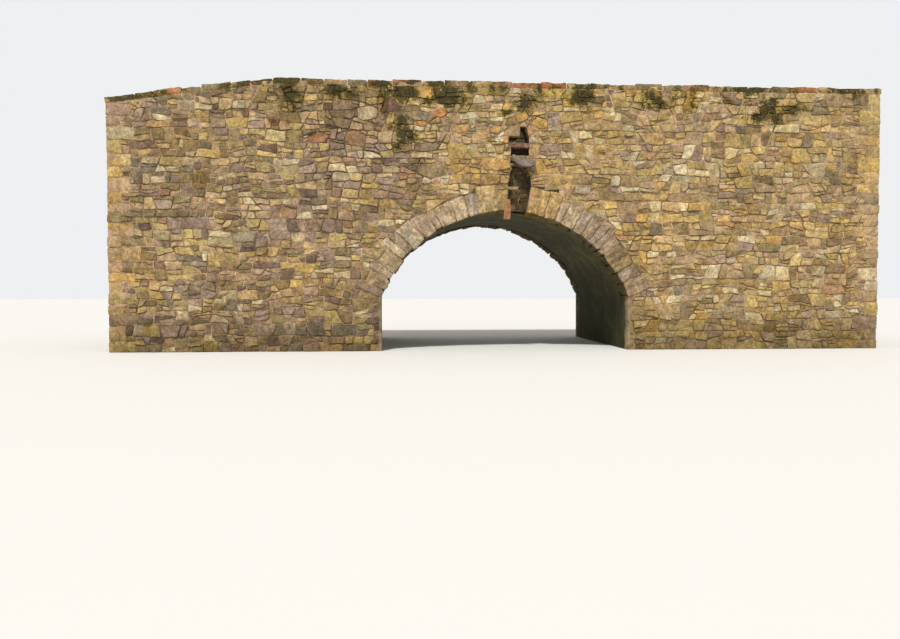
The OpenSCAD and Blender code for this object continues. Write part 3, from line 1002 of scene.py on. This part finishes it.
# Spots of growth: distance along the wall, height, reach along and upwards, strength
FRONT_GROWTH = [
    (-1.72, 4.25, 0.55, 0.30, 1.0), (-0.85, 4.22, 0.50, 0.28, 1.0), (-1.72, 3.75, 0.26, 0.45, 0.8),
    (-2.75, 4.30, 0.50, 0.22, 0.8), (0.42, 4.18, 0.40, 0.25, 0.9), (1.15, 4.28, 0.55, 0.20, 0.8),
    (0.00, 3.98, 0.30, 0.10, 0.7), (-3.7, 4.2, 0.4, 0.3, 0.7), (2.7, 4.2, 0.8, 0.25, 0.7),
    (4.6, 4.1, 0.7, 0.35, 0.8),
]
BACK_GROWTH = [
    (-1.2, 4.2, 0.7, 0.30, 1.0), (0.9, 4.25, 0.6, 0.25, 0.9), (2.6, 4.1, 0.5, 0.40, 0.9),
    (-3.4, 4.1, 0.6, 0.30, 0.8), (4.8, 4.2, 0.7, 0.25, 0.8), (-5.4, 3.8, 0.5, 0.30, 0.8),
]
# Black growth on the road side of the parapets, where it is seen through the drain throat: painted shade that
# keeps the throat dark
THROAT_SHADE_GROWTH = [(0.75, 4.15, 1.2, 0.4, 1.0)]

# Streaks of lime: distance along the wall, height, reach along and upwards
LIME_STREAKS = [(-0.130, 3.55, 0.026, 0.10), (-0.07, 3.635, 0.06, 0.022), (0.415, 3.56, 0.024, 0.09)]


def mark_lime(bm):
    """White streaks where lime has run out beside the drain"""
    layer = bm.verts.layers.float["lime"]
    for vert in bm.verts:
        for x, z, reach_x, reach_z in LIME_STREAKS:
            far = math.hypot((vert.co.x - x) / reach_x, (vert.co.z - z) / reach_z)
            vert[layer] = max(vert[layer], 1.4 - 0.8 * far)


def ring_spans(*nodes):
    """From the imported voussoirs: each one's angles from the vertical and the radius of its back"""
    bm = copy_of(*nodes)
    spans = []
    for block in blocks_of(bm):
        angles = [math.atan2(vert.co.x, vert.co.z - ARCH_Z) for vert in block]
        radii = [math.hypot(vert.co.x, vert.co.z - ARCH_Z) for vert in block]
        spans.append((min(angles), max(angles), max(radii)))
    bm.free()
    return sorted(spans)


def ring_back(spans, angle):
    """Radius of the back of the voussoir at an angle, or of the nearest one"""
    nearest = min(spans, key=lambda span: max(span[0] - angle, angle - span[1]))
    return nearest[2]


def past_ring(spans, flip=1):
    """How far a point of a wall lies outside the ring of voussoirs and the opening"""
    def beyond(along, upward):
        x = along * flip
        angle = math.atan2(x, upward - ARCH_Z)
        if abs(angle) > HALF_ANGLE:
            return abs(x) - HALF_SPAN - 0.035
        return math.hypot(x, upward - ARCH_Z) - ring_back(spans, angle) - 0.004
    return beyond


def mirrored(outline):
    return [(-along, upward) for along, upward in reversed(outline)]


def wall_outline(foot):
    """Outline of the front from a height upwards, with the ramp on its left"""
    return [
        (-HALF_LENGTH, foot), (HALF_LENGTH, foot), (HALF_LENGTH, SEAT_Z), (RAMP_X, SEAT_Z),
        (-HALF_LENGTH, RAMP_Z)]


def front_mix(along, upward):
    return GREYER_MIX if along < -1.5 else PLAIN_MIX


def back_mix(along, upward):
    return GREYER_MIX if along < -2.5 or along > 3.5 else PLAIN_MIX


def end_mix(along, upward):
    return PLAIN_MIX if upward > 2.2 else GREYER_MIX


def inside_mix(along, upward):
    return DAMP_MIX


def corner_courses(top, seed):
    """Heights and lengths of the stones that bond one corner"""
    rng = random.Random(seed)
    courses = []
    foot = 0.0
    long_way = True
    while foot < top - 0.02:
        height = rng.uniform(0.15, 0.25)
        if top - foot - height < 0.12:
            height = top - foot
        lengths = (rng.uniform(0.34, 0.46), rng.uniform(0.19, 0.27))
        if not long_way:
            lengths = lengths[::-1]
        courses.append((foot, foot + height, lengths[0], lengths[1]))
        foot += height
        long_way = not long_way
    return courses


CORNERS = {
    (side, front): corner_courses(RAMP_Z if side < 0 else SEAT_Z, seed)
    for seed, (side, front) in enumerate([(-1, -1), (1, -1), (-1, 1), (1, 1)], start=71)
}


def bed_for_corners(bm, left_courses, right_courses, half_length, which):
    """Marks the places of the corner stones, which stay bare mortar"""
    marks = bm.faces.layers.int["mark"]
    for sign, courses in ((-1, left_courses), (1, right_courses)):
        for foot, top, along_wall, along_end in courses:
            length = (along_wall, along_end)[which] - 0.02
            inner = sign * (half_length - length)
            outer = sign * half_length
            left, right = min(inner, outer), max(inner, outer)
            for face in cut_out(bm, [(left, foot), (right, foot), (right, top), (left, top)]):
                face[marks] = BARE


# Stones of the front that catch the eye: outline, colour and how far each stands out
PLANNED = [
    ([(-0.46, 3.13), (-0.36, 3.03), (-0.16, 3.00), (0.04, 3.05), (0.075, 3.12), (0.03, 3.20),
      (-0.16, 3.245), (-0.38, 3.235)], paint(190, 154, 104), 0.032),
    ([(-0.125, 3.49), (0.035, 3.48), (0.035, 3.58), (-0.005, 3.67), (-0.085, 3.63)],
     paint(204, 160, 96), 0.030),
    ([(-0.30, 3.62), (-0.09, 3.645), (-0.045, 3.72), (-0.20, 3.76), (-0.31, 3.70)],
     paint(170, 136, 88), 0.022),
    ([(0.41, 3.80), (0.56, 3.70), (0.70, 3.72), (0.70, 3.86), (0.52, 3.90)], paint(186, 150, 92), 0.024),
    ([(0.20, 3.78), (0.33, 3.83), (0.40, 3.92), (0.30, 3.98), (0.14, 3.90)], paint(178, 144, 84), 0.026),
    ([(-1.27, 3.93), (-1.10, 3.90), (-1.00, 3.96), (-1.03, 4.03), (-1.20, 4.04)], paint(180, 126, 82), 0.022),
    ([(-1.52, 3.76), (-1.40, 3.74), (-1.33, 3.79), (-1.40, 3.85), (-1.50, 3.83)], paint(182, 132, 72), 0.020),
    ([(-2.48, 3.85), (-2.32, 3.82), (-2.14, 3.88), (-2.14, 4.02), (-2.28, 4.08), (-2.47, 4.02)],
     paint(176, 158, 130), 0.022),
    ([(-2.68, 3.42), (-2.38, 3.40), (-2.32, 3.56), (-2.44, 3.66), (-2.66, 3.62)], paint(146, 114, 86), 0.018),
    ([(-3.30, 3.44), (-2.98, 3.42), (-2.92, 3.54), (-3.10, 3.62), (-3.28, 3.58)], paint(150, 110, 80), 0.018),
    ([(-0.55, 3.56), (-0.40, 3.52), (-0.26, 3.56), (-0.28, 3.63), (-0.46, 3.65)],
     paint(186, 154, 104), 0.016),
    ([(-0.93, 3.66), (-0.72, 3.64), (-0.60, 3.70), (-0.62, 3.80), (-0.90, 3.80)], paint(180, 144, 96), 0.014),
    ([(-0.30, 4.02), (-0.08, 4.00), (-0.06, 4.10), (-0.26, 4.13)], paint(198, 176, 140), 0.018),
    ([(-1.55, 3.34), (-1.35, 3.30), (-1.15, 3.34), (-1.10, 3.43), (-1.30, 3.48), (-1.52, 3.44)],
     paint(132, 116, 86), 0.026),
    ([(-1.50, 2.97), (-1.28, 2.88), (-1.02, 2.92), (-0.94, 3.02), (-1.12, 3.14), (-1.42, 3.12)],
     paint(146, 124, 90), 0.026),
]


def fray_washout(bm):
    """Lets the edges of the washed-out channel run unevenly into it"""
    for vert in bm.verts:
        if vert.is_boundary and 2.84 < vert.co.z < 3.13 and -0.01 < vert.co.x < 0.45:
            bite = abs(noise.noise(vert.co * 8)) * 0.08
            vert.co.x += bite if vert.co.x < 0.22 else -bite


def finish_facing(
        name, bm, rng, mix, growth, turn, offset, planned=None, relief=(0.007, 0.036), worn_at=sound):
    """Turns the layout of a wall into stones and mortar, and puts it in its place"""
    layout = layout_of(bm)
    raise_stones(bm, rng, mix, planned, relief, worn_at)
    close_back(bm, layout, FACING_THICKNESS)
    mark_stains(bm, growth)
    place(bm, turn, offset)
    make_piece(name, bm, (LIME, RUBBLE), "rubble_masonry")


def front_wall():
    spans = ring_spans("front_voussoirs_left", "front_keystone", "front_crown_stone", "front_voussoirs_right")
    rng = random.Random(301)
    bm = new_wall(wall_outline(0))
    lay_rubble(bm, rng)
    planned = {}
    for number, (outline, tone, relief) in enumerate(PLANNED, start=BARE + 1):
        set_planned_stone(bm, outline, number)
        planned[number] = {"tone": tone, "relief": relief, "lean_z": 0.02}
    open_up(bm, DRAIN_FITTINGS + [WASHOUT])
    trim(bm, past_ring(spans))
    bed_for_corners(bm, CORNERS[(-1, -1)], CORNERS[(1, -1)], HALF_LENGTH, 0)
    loosen(bm, 3)
    fray_washout(bm)
    mark_lime(bm)
    finish_facing(
        "front_wall_stones", bm, rng, front_mix, growth_near(FRONT_GROWTH, 4.1), 0.0, (0, -FACE, 0),
        planned, worn_at=eroded)


def back_wall():
    spans = ring_spans("back_voussoirs_left", "back_keystone", "back_voussoirs_right")
    rng = random.Random(402)
    bm = new_wall([
        (-HALF_LENGTH, 0), (HALF_LENGTH, 0), (HALF_LENGTH, RAMP_Z), (-RAMP_X, SEAT_Z),
        (-HALF_LENGTH, SEAT_Z)])
    lay_rubble(bm, rng)
    open_up(bm, [mirrored(outline) for outline in DRAIN_FITTINGS])
    trim(bm, past_ring(spans, -1))
    bed_for_corners(bm, CORNERS[(1, 1)], CORNERS[(-1, 1)], HALF_LENGTH, 0)
    loosen(bm, 5)
    finish_facing("back_wall_stones", bm, rng, back_mix, growth_near(BACK_GROWTH, 4.1), math.pi, (0, FACE, 0))


def end_wall(name, side, seed):
    """Stones of one end, with the road left open between the parapets"""
    rng = random.Random(seed)
    top = RAMP_Z if side < 0 else SEAT_Z
    bm = new_wall([(-FACE, 0), (FACE, 0), (FACE, top), (-FACE, top)])
    lay_rubble(bm, rng)
    over_road = [
        (-PARAPET_INNER, BED_Z), (PARAPET_INNER, BED_Z), (PARAPET_INNER, top + 1), (-PARAPET_INNER, top + 1)]
    open_up(bm, [over_road])
    bed_for_corners(bm, CORNERS[(side, -side)], CORNERS[(side, side)], FACE, 1)
    loosen(bm, seed)
    finish_facing(
        name, bm, rng, end_mix, growth_near([], 4.0), side * math.pi / 2, (side * HALF_LENGTH, 0, 0),
        relief=(0.006, 0.024))


def parapet_inside(name, side, seed):
    """Stones on the road side of one parapet"""
    rng = random.Random(seed)
    outline = wall_outline(ROAD_Z)
    holes = [THROAT_LOW, THROAT_PEAK]
    turn = 0.0
    if side < 0:
        outline = mirrored(outline)
        holes = [mirrored(hole) for hole in holes]
        turn = math.pi
    bm = new_wall(outline)
    lay_rubble(bm, rng)
    open_up(bm, holes)
    loosen(bm, seed)
    finish_facing(
        name, bm, rng, inside_mix, growth_near(THROAT_SHADE_GROWTH, 3.7), turn, (0, side * PARAPET_INNER, 0))


def corner_stones():
    """Blocks that bond the four outer corners"""
    rng = random.Random(611)
    bm = bmesh.new()
    for (side, front), courses in CORNERS.items():
        for foot, top, along_wall, along_end in courses:
            proud = rng.uniform(0.010, 0.020)
            if foot > BED_Z - 0.1:
                along_end = min(along_end, FACE - PARAPET_INNER + 0.01)
            size = Vector((along_wall + proud, along_end + proud, top - foot - 0.014))
            middle = Vector((
                side * (HALF_LENGTH + proud - size.x / 2),
                front * (FACE + proud - size.y / 2),
                foot + 0.007 + size.z / 2))
            made = bmesh.ops.create_cube(bm, size=1)["verts"]
            bmesh.ops.scale(bm, vec=size, verts=made)
            bmesh.ops.translate(bm, vec=middle, verts=made)
    hew(bm, rng, chamfer=0.014, spacing=0.075, skew=0.012, unevenness=0.009)
    colour_blocks(bm, lambda middle: pick_tone(rng, PLAIN_MIX))
    mark_stains(bm, growth_near([], 4.0))
    make_piece("corner_stones", bm, (VOUSSOIR_STONE,), "rubble_masonry")


# The arch


def shift_stones(bm, blocks, rng, spread):
    """Lets the feet of the voussoirs end unevenly, as rough slabs do"""
    for block in blocks:
        middle = middle_of(block)
        outward = Vector((middle.x, 0, middle.z - ARCH_Z)).normalized()
        move = outward * rng.uniform(-spread, spread * 0.5)
        for vert in block:
            vert.co += move


def voussoirs(name, node, seed, tones, spread=0.020):
    """Stones of one stretch of a ring"""
    rng = random.Random(seed)
    bm = copy_of(node)
    blocks = hew(bm, rng, chamfer=0.012, spacing=0.055, skew=0.034, unevenness=0.016)
    shift_stones(bm, blocks, rng, spread)
    colour_blocks(bm, lambda middle: tones(middle, rng))
    mark_stains(bm, lambda spot: 0.0)
    make_piece(name, bm, (ARCH_STONE,), "dressed_stone", stands_for=(node,))


def haunch_tones(middle, rng):
    """Colours that turn paler towards the crown"""
    tone = pick_tone(rng, ARCH_MIX)
    near_crown = clamp(2.0 - abs(middle.x))
    return mixed(tone, mixed(paint(152, 134, 110), paint(200, 180, 156), near_crown), 0.45)


def right_tones(middle, rng):
    """Golden colours beside the lost stone, and the usual ones beyond"""
    if middle.x < 0.85:
        return paint(186, 154, 104)
    return haunch_tones(middle, rng)


def one_tone(red, green, blue):
    return lambda middle, rng: paint(red, green, blue)


def arch_rings():
    voussoirs("front_ring_left", "front_voussoirs_left", 811, haunch_tones)
    voussoirs("front_ring_right", "front_voussoirs_right", 812, right_tones)
    voussoirs("front_ring_keystone", "front_keystone", 813, one_tone(194, 166, 120), 0.004)
    voussoirs("front_ring_crown_stone", "front_crown_stone", 814, one_tone(172, 147, 106), 0.004)
    voussoirs("back_ring_left", "back_voussoirs_left", 815, haunch_tones, 0.010)
    voussoirs("back_ring_right", "back_voussoirs_right", 816, haunch_tones, 0.010)
    voussoirs("back_ring_keystone", "back_keystone", 817, one_tone(196, 162, 116), 0.004)


def spin_ring(bm, profile, start, end, step):
    """Turns an outline of radius and depth about the axis of the arch, and closes its ends"""
    verts = [
        bm.verts.new((radius * math.sin(start), y, ARCH_Z + radius * math.cos(start)))
        for radius, y in profile]
    edges = [bm.edges.new((verts[i - 1], verts[i])) for i in range(len(verts))]
    bmesh.ops.spin(
        bm, geom=verts + edges, cent=(0, 0, ARCH_Z), axis=(0, 1, 0), angle=end - start,
        steps=max(2, round((end - start) / step)), use_merge=False)
    bmesh.ops.holes_fill(bm, edges=rim_of(bm), sides=0)


def stretch(first, last, count):
    """Values from the first to the last in a number of equal steps"""
    return [first + (last - first) * i / count for i in range(count + 1)]


def ring_mortar():
    """Mortar between the voussoirs, a little behind their faces"""
    inner = ARCH_RADIUS + 0.026
    outer = ARCH_RADIUS + 0.50
    lost_from = math.asin(LOST_FROM_X / ARCH_RADIUS)
    lost_to = math.asin(LOST_TO_X / ARCH_RADIUS)
    front_stretches = ((-HALF_ANGLE, lost_from), (lost_to, HALF_ANGLE))
    back_stretches = ((-HALF_ANGLE, HALF_ANGLE),)
    bm = bmesh.new()
    for side, stretches in ((-1, front_stretches), (1, back_stretches)):
        face_y = side * (FACE - 0.004)
        profile = [(radius, face_y) for radius in stretch(inner, outer, 9)]
        profile += [(radius, side * VAULT_REACH) for radius in stretch(outer, inner, 2)]
        profile += [(inner, y) for y in stretch(side * VAULT_REACH, face_y, 8)[1:-1]]
        for start, end in stretches:
            spin_ring(bm, profile, start + 0.002, end - 0.002, 0.022)
    for vert in bm.verts:
        vert.co += noise.noise_vector(vert.co * 11) * 0.005
    bmesh.ops.recalc_face_normals(bm, faces=bm.faces)
    mark_stains(bm, lambda spot: 0.0)
    make_piece("ring_mortar", bm, (ARCH_LIME,), "rubble_masonry")


def vault_coat():
    """Rendered underside of the vault"""
    bm = bmesh.new()
    profile = [(VAULT_RADIUS - 0.009, y) for y in stretch(-VAULT_REACH, VAULT_REACH, 44)]
    profile += [(VAULT_RADIUS + 0.020, VAULT_REACH), (VAULT_RADIUS + 0.020, -VAULT_REACH)]
    spin_ring(bm, profile, -HALF_ANGLE, HALF_ANGLE, 0.026)
    for vert in bm.verts:
        angle = math.atan2(vert.co.x, vert.co.z - ARCH_Z)
        outward = Vector((vert.co.x, 0, vert.co.z - ARCH_Z)).normalized()
        haunch = max(0.0, (abs(angle) - 0.9) / (HALF_ANGLE - 0.9))
        dent = noise.noise(vert.co * 2.7) * 0.007 + noise.noise(vert.co * 9) * 0.003
        vert.co += outward * (dent - 0.020 * haunch * haunch)
    bmesh.ops.recalc_face_normals(bm, faces=bm.faces)
    mark_worn(bm, lambda spot: 0.0)
    make_piece("vault_coat", bm, (COAT,), "render_coat")


def mark_worn(bm, worn):
    """Notes on every vertex how worn the place is"""
    layer = bm.verts.layers.float.new("worn")
    for vert in bm.verts:
        vert[layer] = worn(vert.co)


def jamb_coat(name, side):
    """Rendered jamb, rounded over both arrises"""
    thick = 0.013
    lap = 0.045
    corner = 0.038
    lifts = 14
    height = SPRING_Z + 0.012
    front = [(HALF_SPAN + lap, -(FACE + thick))]
    for turn in stretch(0, math.pi / 2, 4):
        x = HALF_SPAN - thick + corner - corner * math.sin(turn)
        y = -(FACE + thick - corner + corner * math.cos(turn))
        front.append((x, y))
    flat_end = FACE + thick - corner
    flat = [(HALF_SPAN - thick, y) for y in stretch(-flat_end, flat_end, 52)[1:-1]]
    back = [(x, -y) for x, y in reversed(front)]
    inner = [(HALF_SPAN + lap, FACE - 0.02), (HALF_SPAN + 0.02, FACE - 0.02)]
    inner += [(x, -y) for x, y in reversed(inner)]

    bm = bmesh.new()
    verts = [bm.verts.new((side * x, y, 0.0)) for x, y in front + flat + back + inner]
    edges = [bm.edges.new((verts[i - 1], verts[i])) for i in range(len(verts))]
    for _ in range(lifts):
        made = bmesh.ops.extrude_edge_only(bm, edges=edges)
        moved = verts_of(made)
        edges = [
            item for item in made["geom"]
            if isinstance(item, bmesh.types.BMEdge) and all(vert in moved for vert in item.verts)]
        bmesh.ops.translate(bm, vec=(0, 0, height / lifts), verts=moved)
    bmesh.ops.holes_fill(bm, edges=rim_of(bm), sides=0)
    for vert in bm.verts:
        if abs(vert.co.x) < HALF_SPAN + 0.01 or abs(vert.co.y) > FACE:
            dent = noise.noise(vert.co * 3.1) * 0.006 + noise.noise(vert.co * 11) * 0.003
            vert.co.x -= side * dent
            if abs(vert.co.x) > HALF_SPAN + 0.03:
                vert.co.x += side * noise.noise(vert.co * 6) * 0.025
    bmesh.ops.recalc_face_normals(bm, faces=bm.faces)
    mark_worn(bm, lambda spot: clamp((abs(spot.y) - 1.72) / 0.24))
    make_piece(name, bm, (COAT,), "render_coat")


# The drain


# Stones of each drain: node and slot, finish, colour, chamfer, spacing, skew and unevenness
FITTINGS = [
    ("_drain_lintel", "dressed_stone", VOUSSOIR_STONE, paint(156, 132, 96), 0.010, 0.040, 0.020, 0.010),
    ("_drain_hood", "dressed_stone", VOUSSOIR_STONE, paint(186, 152, 100), 0.008, 0.040, 0.012, 0.006),
    ("_drain_sill", "grey_stone", SILT, paint(122, 90, 70), 0.008, 0.030, 0.020, 0.012),
    ("_drain_spout", "grey_stone", WORN_STONE, paint(128, 117, 107), 0.012, 0.030, 0.024, 0.014),
]


def drains():
    """Lintel, hood stone, sill and spout stone of both drains"""
    for side, first_seed in (("front", 910), ("back", 920)):
        for seed, fitting in enumerate(FITTINGS, start=first_seed):
            ending, slot, finish, tone, chamfer, spacing, skew, unevenness = fitting
            node = side + ending
            bm = copy_of(node)
            hew(bm, random.Random(seed), chamfer, spacing, skew, unevenness)
            colour_blocks(bm, lambda middle: tone)
            mark_stains(bm, lambda spot: 0.15)
            make_piece(node + "_stone", bm, (finish,), slot, stands_for=(node,))


def washout_lining():
    """Rough core that shows where the face and one voussoir have been washed out below the spout"""
    bm = new_wall([(0.0, 2.20), (0.50, 2.20), (0.50, 3.22), (0.0, 3.22)])
    rng = random.Random(951)
    lay_rubble(bm, rng, CORE_STONE_SIZE)
    loosen(bm, 13)
    layout = layout_of(bm)
    # Colours darkened for damp, and as painted shade in the hollow below the spout
    damp = [(mixed(tone, paint(40, 36, 26), 0.55), 1) for tone in (BROWN, SLATE, TAN)]
    raise_stones(bm, rng, lambda along, upward: damp, relief=(0.012, 0.050))
    close_back(bm, layout, FACE - WASHOUT_DEPTH - VAULT_REACH)
    gaps = bm.verts.layers.float["gap"]
    for vert in bm.verts:
        foot = ARCH_Z + math.sqrt((ARCH_RADIUS + 0.045) ** 2 - vert.co.x ** 2)
        vert.co.z = max(foot + 0.03 * noise.noise(vert.co * 9), vert.co.z)
        # Joints of the hollow get more painted shade
        vert[gaps] = 0.5 + 0.4 * vert[gaps]
    mark_stains(bm, lambda spot: 0.5)
    place(bm, 0.0, (0, -FACE + WASHOUT_DEPTH, 0))
    make_piece("washout_lining", bm, (LIME, RUBBLE), "rubble_masonry")


def packing_stones():
    """Loose stones that pack the spout from below"""
    rng = random.Random(977)
    bm = bmesh.new()
    packing = [
        ((0.150, 0.22, 0.055), (0.400, -1.93, 3.030)),
        ((0.10, 0.18, 0.05), (0.11, -1.90, 3.130)),
        ((0.12, 0.20, 0.06), (0.43, -1.92, 2.970)),
    ]
    for size, middle in packing:
        made = bmesh.ops.create_cube(bm, size=1)["verts"]
        bmesh.ops.scale(bm, vec=size, verts=made)
        bmesh.ops.translate(bm, vec=middle, verts=made)
    hew(bm, rng, chamfer=0.010, spacing=0.04, skew=0.012, unevenness=0.007)
    colour_blocks(bm, lambda middle: pick_tone(rng, [(BROWN, 1), (SLATE, 1)]))
    mark_stains(bm, lambda spot: 0.4)
    make_piece("packing_stones", bm, (RUBBLE,), "rubble_masonry")


def iron_strip():
    """Flat iron over the crown stone, a little bent and flaked"""
    bm = copy_of("crown_iron_strip")
    bmesh.ops.bevel(
        bm, geom=bm.edges[:], offset=0.003, affect="EDGES", segments=2, profile=0.5, material=-1)
    refine(bm, 0.022)
    bm.normal_update()
    low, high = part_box("crown_iron_strip")
    for vert in bm.verts:
        down = (high[2] - vert.co.z) / (high[2] - low[2])
        vert.co.y -= 0.010 * down * down
        vert.co.x += 0.012 * math.sin(down * 3.4) - 0.004
        vert.co += vert.normal * noise.noise(vert.co * 40) * 0.0015
    for vert in bm.verts:
        if vert.co.z < low[2] + 0.02:
            vert.co.z += noise.noise(Vector((vert.co.x * 40, 3, 1))) * 0.012
    make_piece("crown_strip", bm, (IRON,), "rusted_iron", stands_for=("crown_iron_strip",))


# The top


def copings():
    for node, seed in (("front_coping", 981), ("back_coping", 983)):
        rng = random.Random(seed)
        bm = copy_of(node)
        hew(bm, rng, chamfer=0.012, spacing=0.065, skew=0.018, unevenness=0.010)
        colour_blocks(bm, lambda middle: pick_tone(rng, COPING_MIX))
        mark_stains(bm, lambda spot: 0.55 + 0.6 * noise.noise(spot * 0.9))
        make_piece(node + "_stones", bm, (COPING_STONE,), "coping_stone", stands_for=(node,))


def coping_beds():
    """Mortar below and between the coping stones"""
    bm = bmesh.new()
    lift = 0.060
    end = HALF_LENGTH + 0.001
    outline = [
        (-end, RAMP_Z - 0.01), (RAMP_X, SEAT_Z - 0.01), (end, SEAT_Z - 0.01),
        (end, SEAT_Z + lift), (RAMP_X, SEAT_Z + lift), (-end, RAMP_Z + lift)]
    for side in (-1, 1):
        face = bm.faces.new([bm.verts.new((x, side * (FACE + 0.002), z)) for x, z in outline])
        across = verts_of(bmesh.ops.extrude_face_region(bm, geom=[face]))
        bmesh.ops.translate(bm, vec=(0, -side * (FACE - PARAPET_INNER + 0.004), 0), verts=across)
    refine(bm, 0.09)
    for vert in bm.verts:
        vert.co += noise.noise_vector(vert.co * 9) * 0.006
    bmesh.ops.recalc_face_normals(bm, faces=bm.faces)
    mark_stains(bm, lambda spot: 0.5)
    make_piece("coping_beds", bm, (LIME,), "rubble_masonry")


def road():
    """Gravel with a low crown, two worn wheel tracks and a loose verge along each parapet"""
    track_y = 0.72
    verge_from = 0.86
    bm = bmesh.new()
    made = bmesh.ops.create_grid(bm, x_segments=216, y_segments=52, size=0.5)["verts"]
    bmesh.ops.scale(bm, vec=(2 * HALF_LENGTH, 2 * PARAPET_INNER, 1), verts=made)
    for vert in bm.verts:
        across = vert.co.y / PARAPET_INNER
        level = ROAD_Z + CAMBER * (1 - across * across)
        lump = noise.noise(vert.co * 1.7) * 0.008 + noise.noise(vert.co * 13) * 0.004
        track = 0.014 * max(0.0, 1 - abs(abs(vert.co.y) - track_y) / 0.26)
        verge = 0.012 * max(0, abs(across) - verge_from) / (1 - verge_from)
        vert.co.z = level + lump - track + verge - 0.004
    for vert in verts_of(bmesh.ops.extrude_edge_only(bm, edges=rim_of(bm))):
        vert.co.z = BED_Z
    bmesh.ops.holes_fill(bm, edges=rim_of(bm), sides=0)
    bmesh.ops.recalc_face_normals(bm, faces=bm.faces)
    mark_worn(
        bm, lambda spot: max(0.0, 1 - abs(abs(spot.y) - track_y + 0.06 * noise.noise(spot * 0.8)) / 0.42))
    make_piece("road_surface", bm, (GRAVEL,), "road_gravel", stands_for=("roadway",))


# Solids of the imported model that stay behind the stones


def finish_cores():
    """Gives the solids behind the stones what shows of them in joints and openings"""
    for name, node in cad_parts.items():
        if name == "barrel_vault":
            finish = COAT
        # Dark earth on the parapet cores also lines the drain throats: painted shade inside them
        elif name in ("rubble_fill", "front_spandrel_crown") or name.endswith("_parapet_middle"):
            finish = EARTH
        else:
            finish = LIME
        node.data.materials.clear()
        node.data.materials.append(finish)


# Floor, light and camera


def floor_finish():
    finish, _, shader = new_finish("pale_floor")
    shader.inputs["Base Color"].default_value = paint(226, 224, 220)
    shader.inputs["Roughness"].default_value = 0.9
    return finish


def studio():
    """Pale floor and sky, and one soft sun from the front left"""
    bm = bmesh.new()
    bmesh.ops.create_grid(bm, x_segments=1, y_segments=1, size=60)
    mesh = bpy.data.meshes.new("floor")
    bm.to_mesh(mesh)
    bm.free()
    mesh.materials.append(floor_finish())
    floor = bpy.data.objects.new("floor", mesh)
    bpy.context.collection.objects.link(floor)

    world = bpy.data.worlds.new("studio")
    bpy.context.scene.world = world
    world.use_nodes = True
    tree = world.node_tree
    background = tree.nodes["Background"]
    path = tree.nodes.new("ShaderNodeLightPath")
    shade = blend_colours(tree, path.outputs["Is Camera Ray"], (0.53, 0.53, 0.52, 1), (0.86, 0.87, 0.88, 1))
    feed(tree, shade, background.inputs["Color"])
    background.inputs["Strength"].default_value = 1.0

    lamp = bpy.data.lights.new("key", "SUN")
    lamp.energy = 3.0
    lamp.angle = math.radians(6)
    lamp.color = (1.0, 0.985, 0.955)
    key = bpy.data.objects.new("key", lamp)
    key.rotation_euler = (math.radians(36), 0, math.radians(-22))
    bpy.context.collection.objects.link(key)


def camera():
    """Camera in front of the arch, low and a little to its left"""
    data = bpy.data.cameras.new("camera")
    data.sensor_width = 36
    data.lens = 35.0
    data.clip_end = 300
    eye = bpy.data.objects.new("camera", data)
    eye.location = (-2.10, -16.62, 1.08)
    eye.rotation_euler = (math.radians(90 - 2.17), 0, math.radians(-4.51))
    bpy.context.collection.objects.link(eye)
    bpy.context.scene.camera = eye


camera()
studio()
finish_cores()
front_wall()
back_wall()
end_wall("left_end_stones", -1, 521)
end_wall("right_end_stones", 1, 522)
parapet_inside("front_parapet_inside", -1, 531)
parapet_inside("back_parapet_inside", 1, 532)
corner_stones()
arch_rings()
ring_mortar()
vault_coat()
jamb_coat("left_jamb_coat", -1)
jamb_coat("right_jamb_coat", 1)
drains()
washout_lining()
packing_stones()
iron_strip()
copings()
coping_beds()
road()

bpy.context.scene.view_settings.view_transform = "Standard"
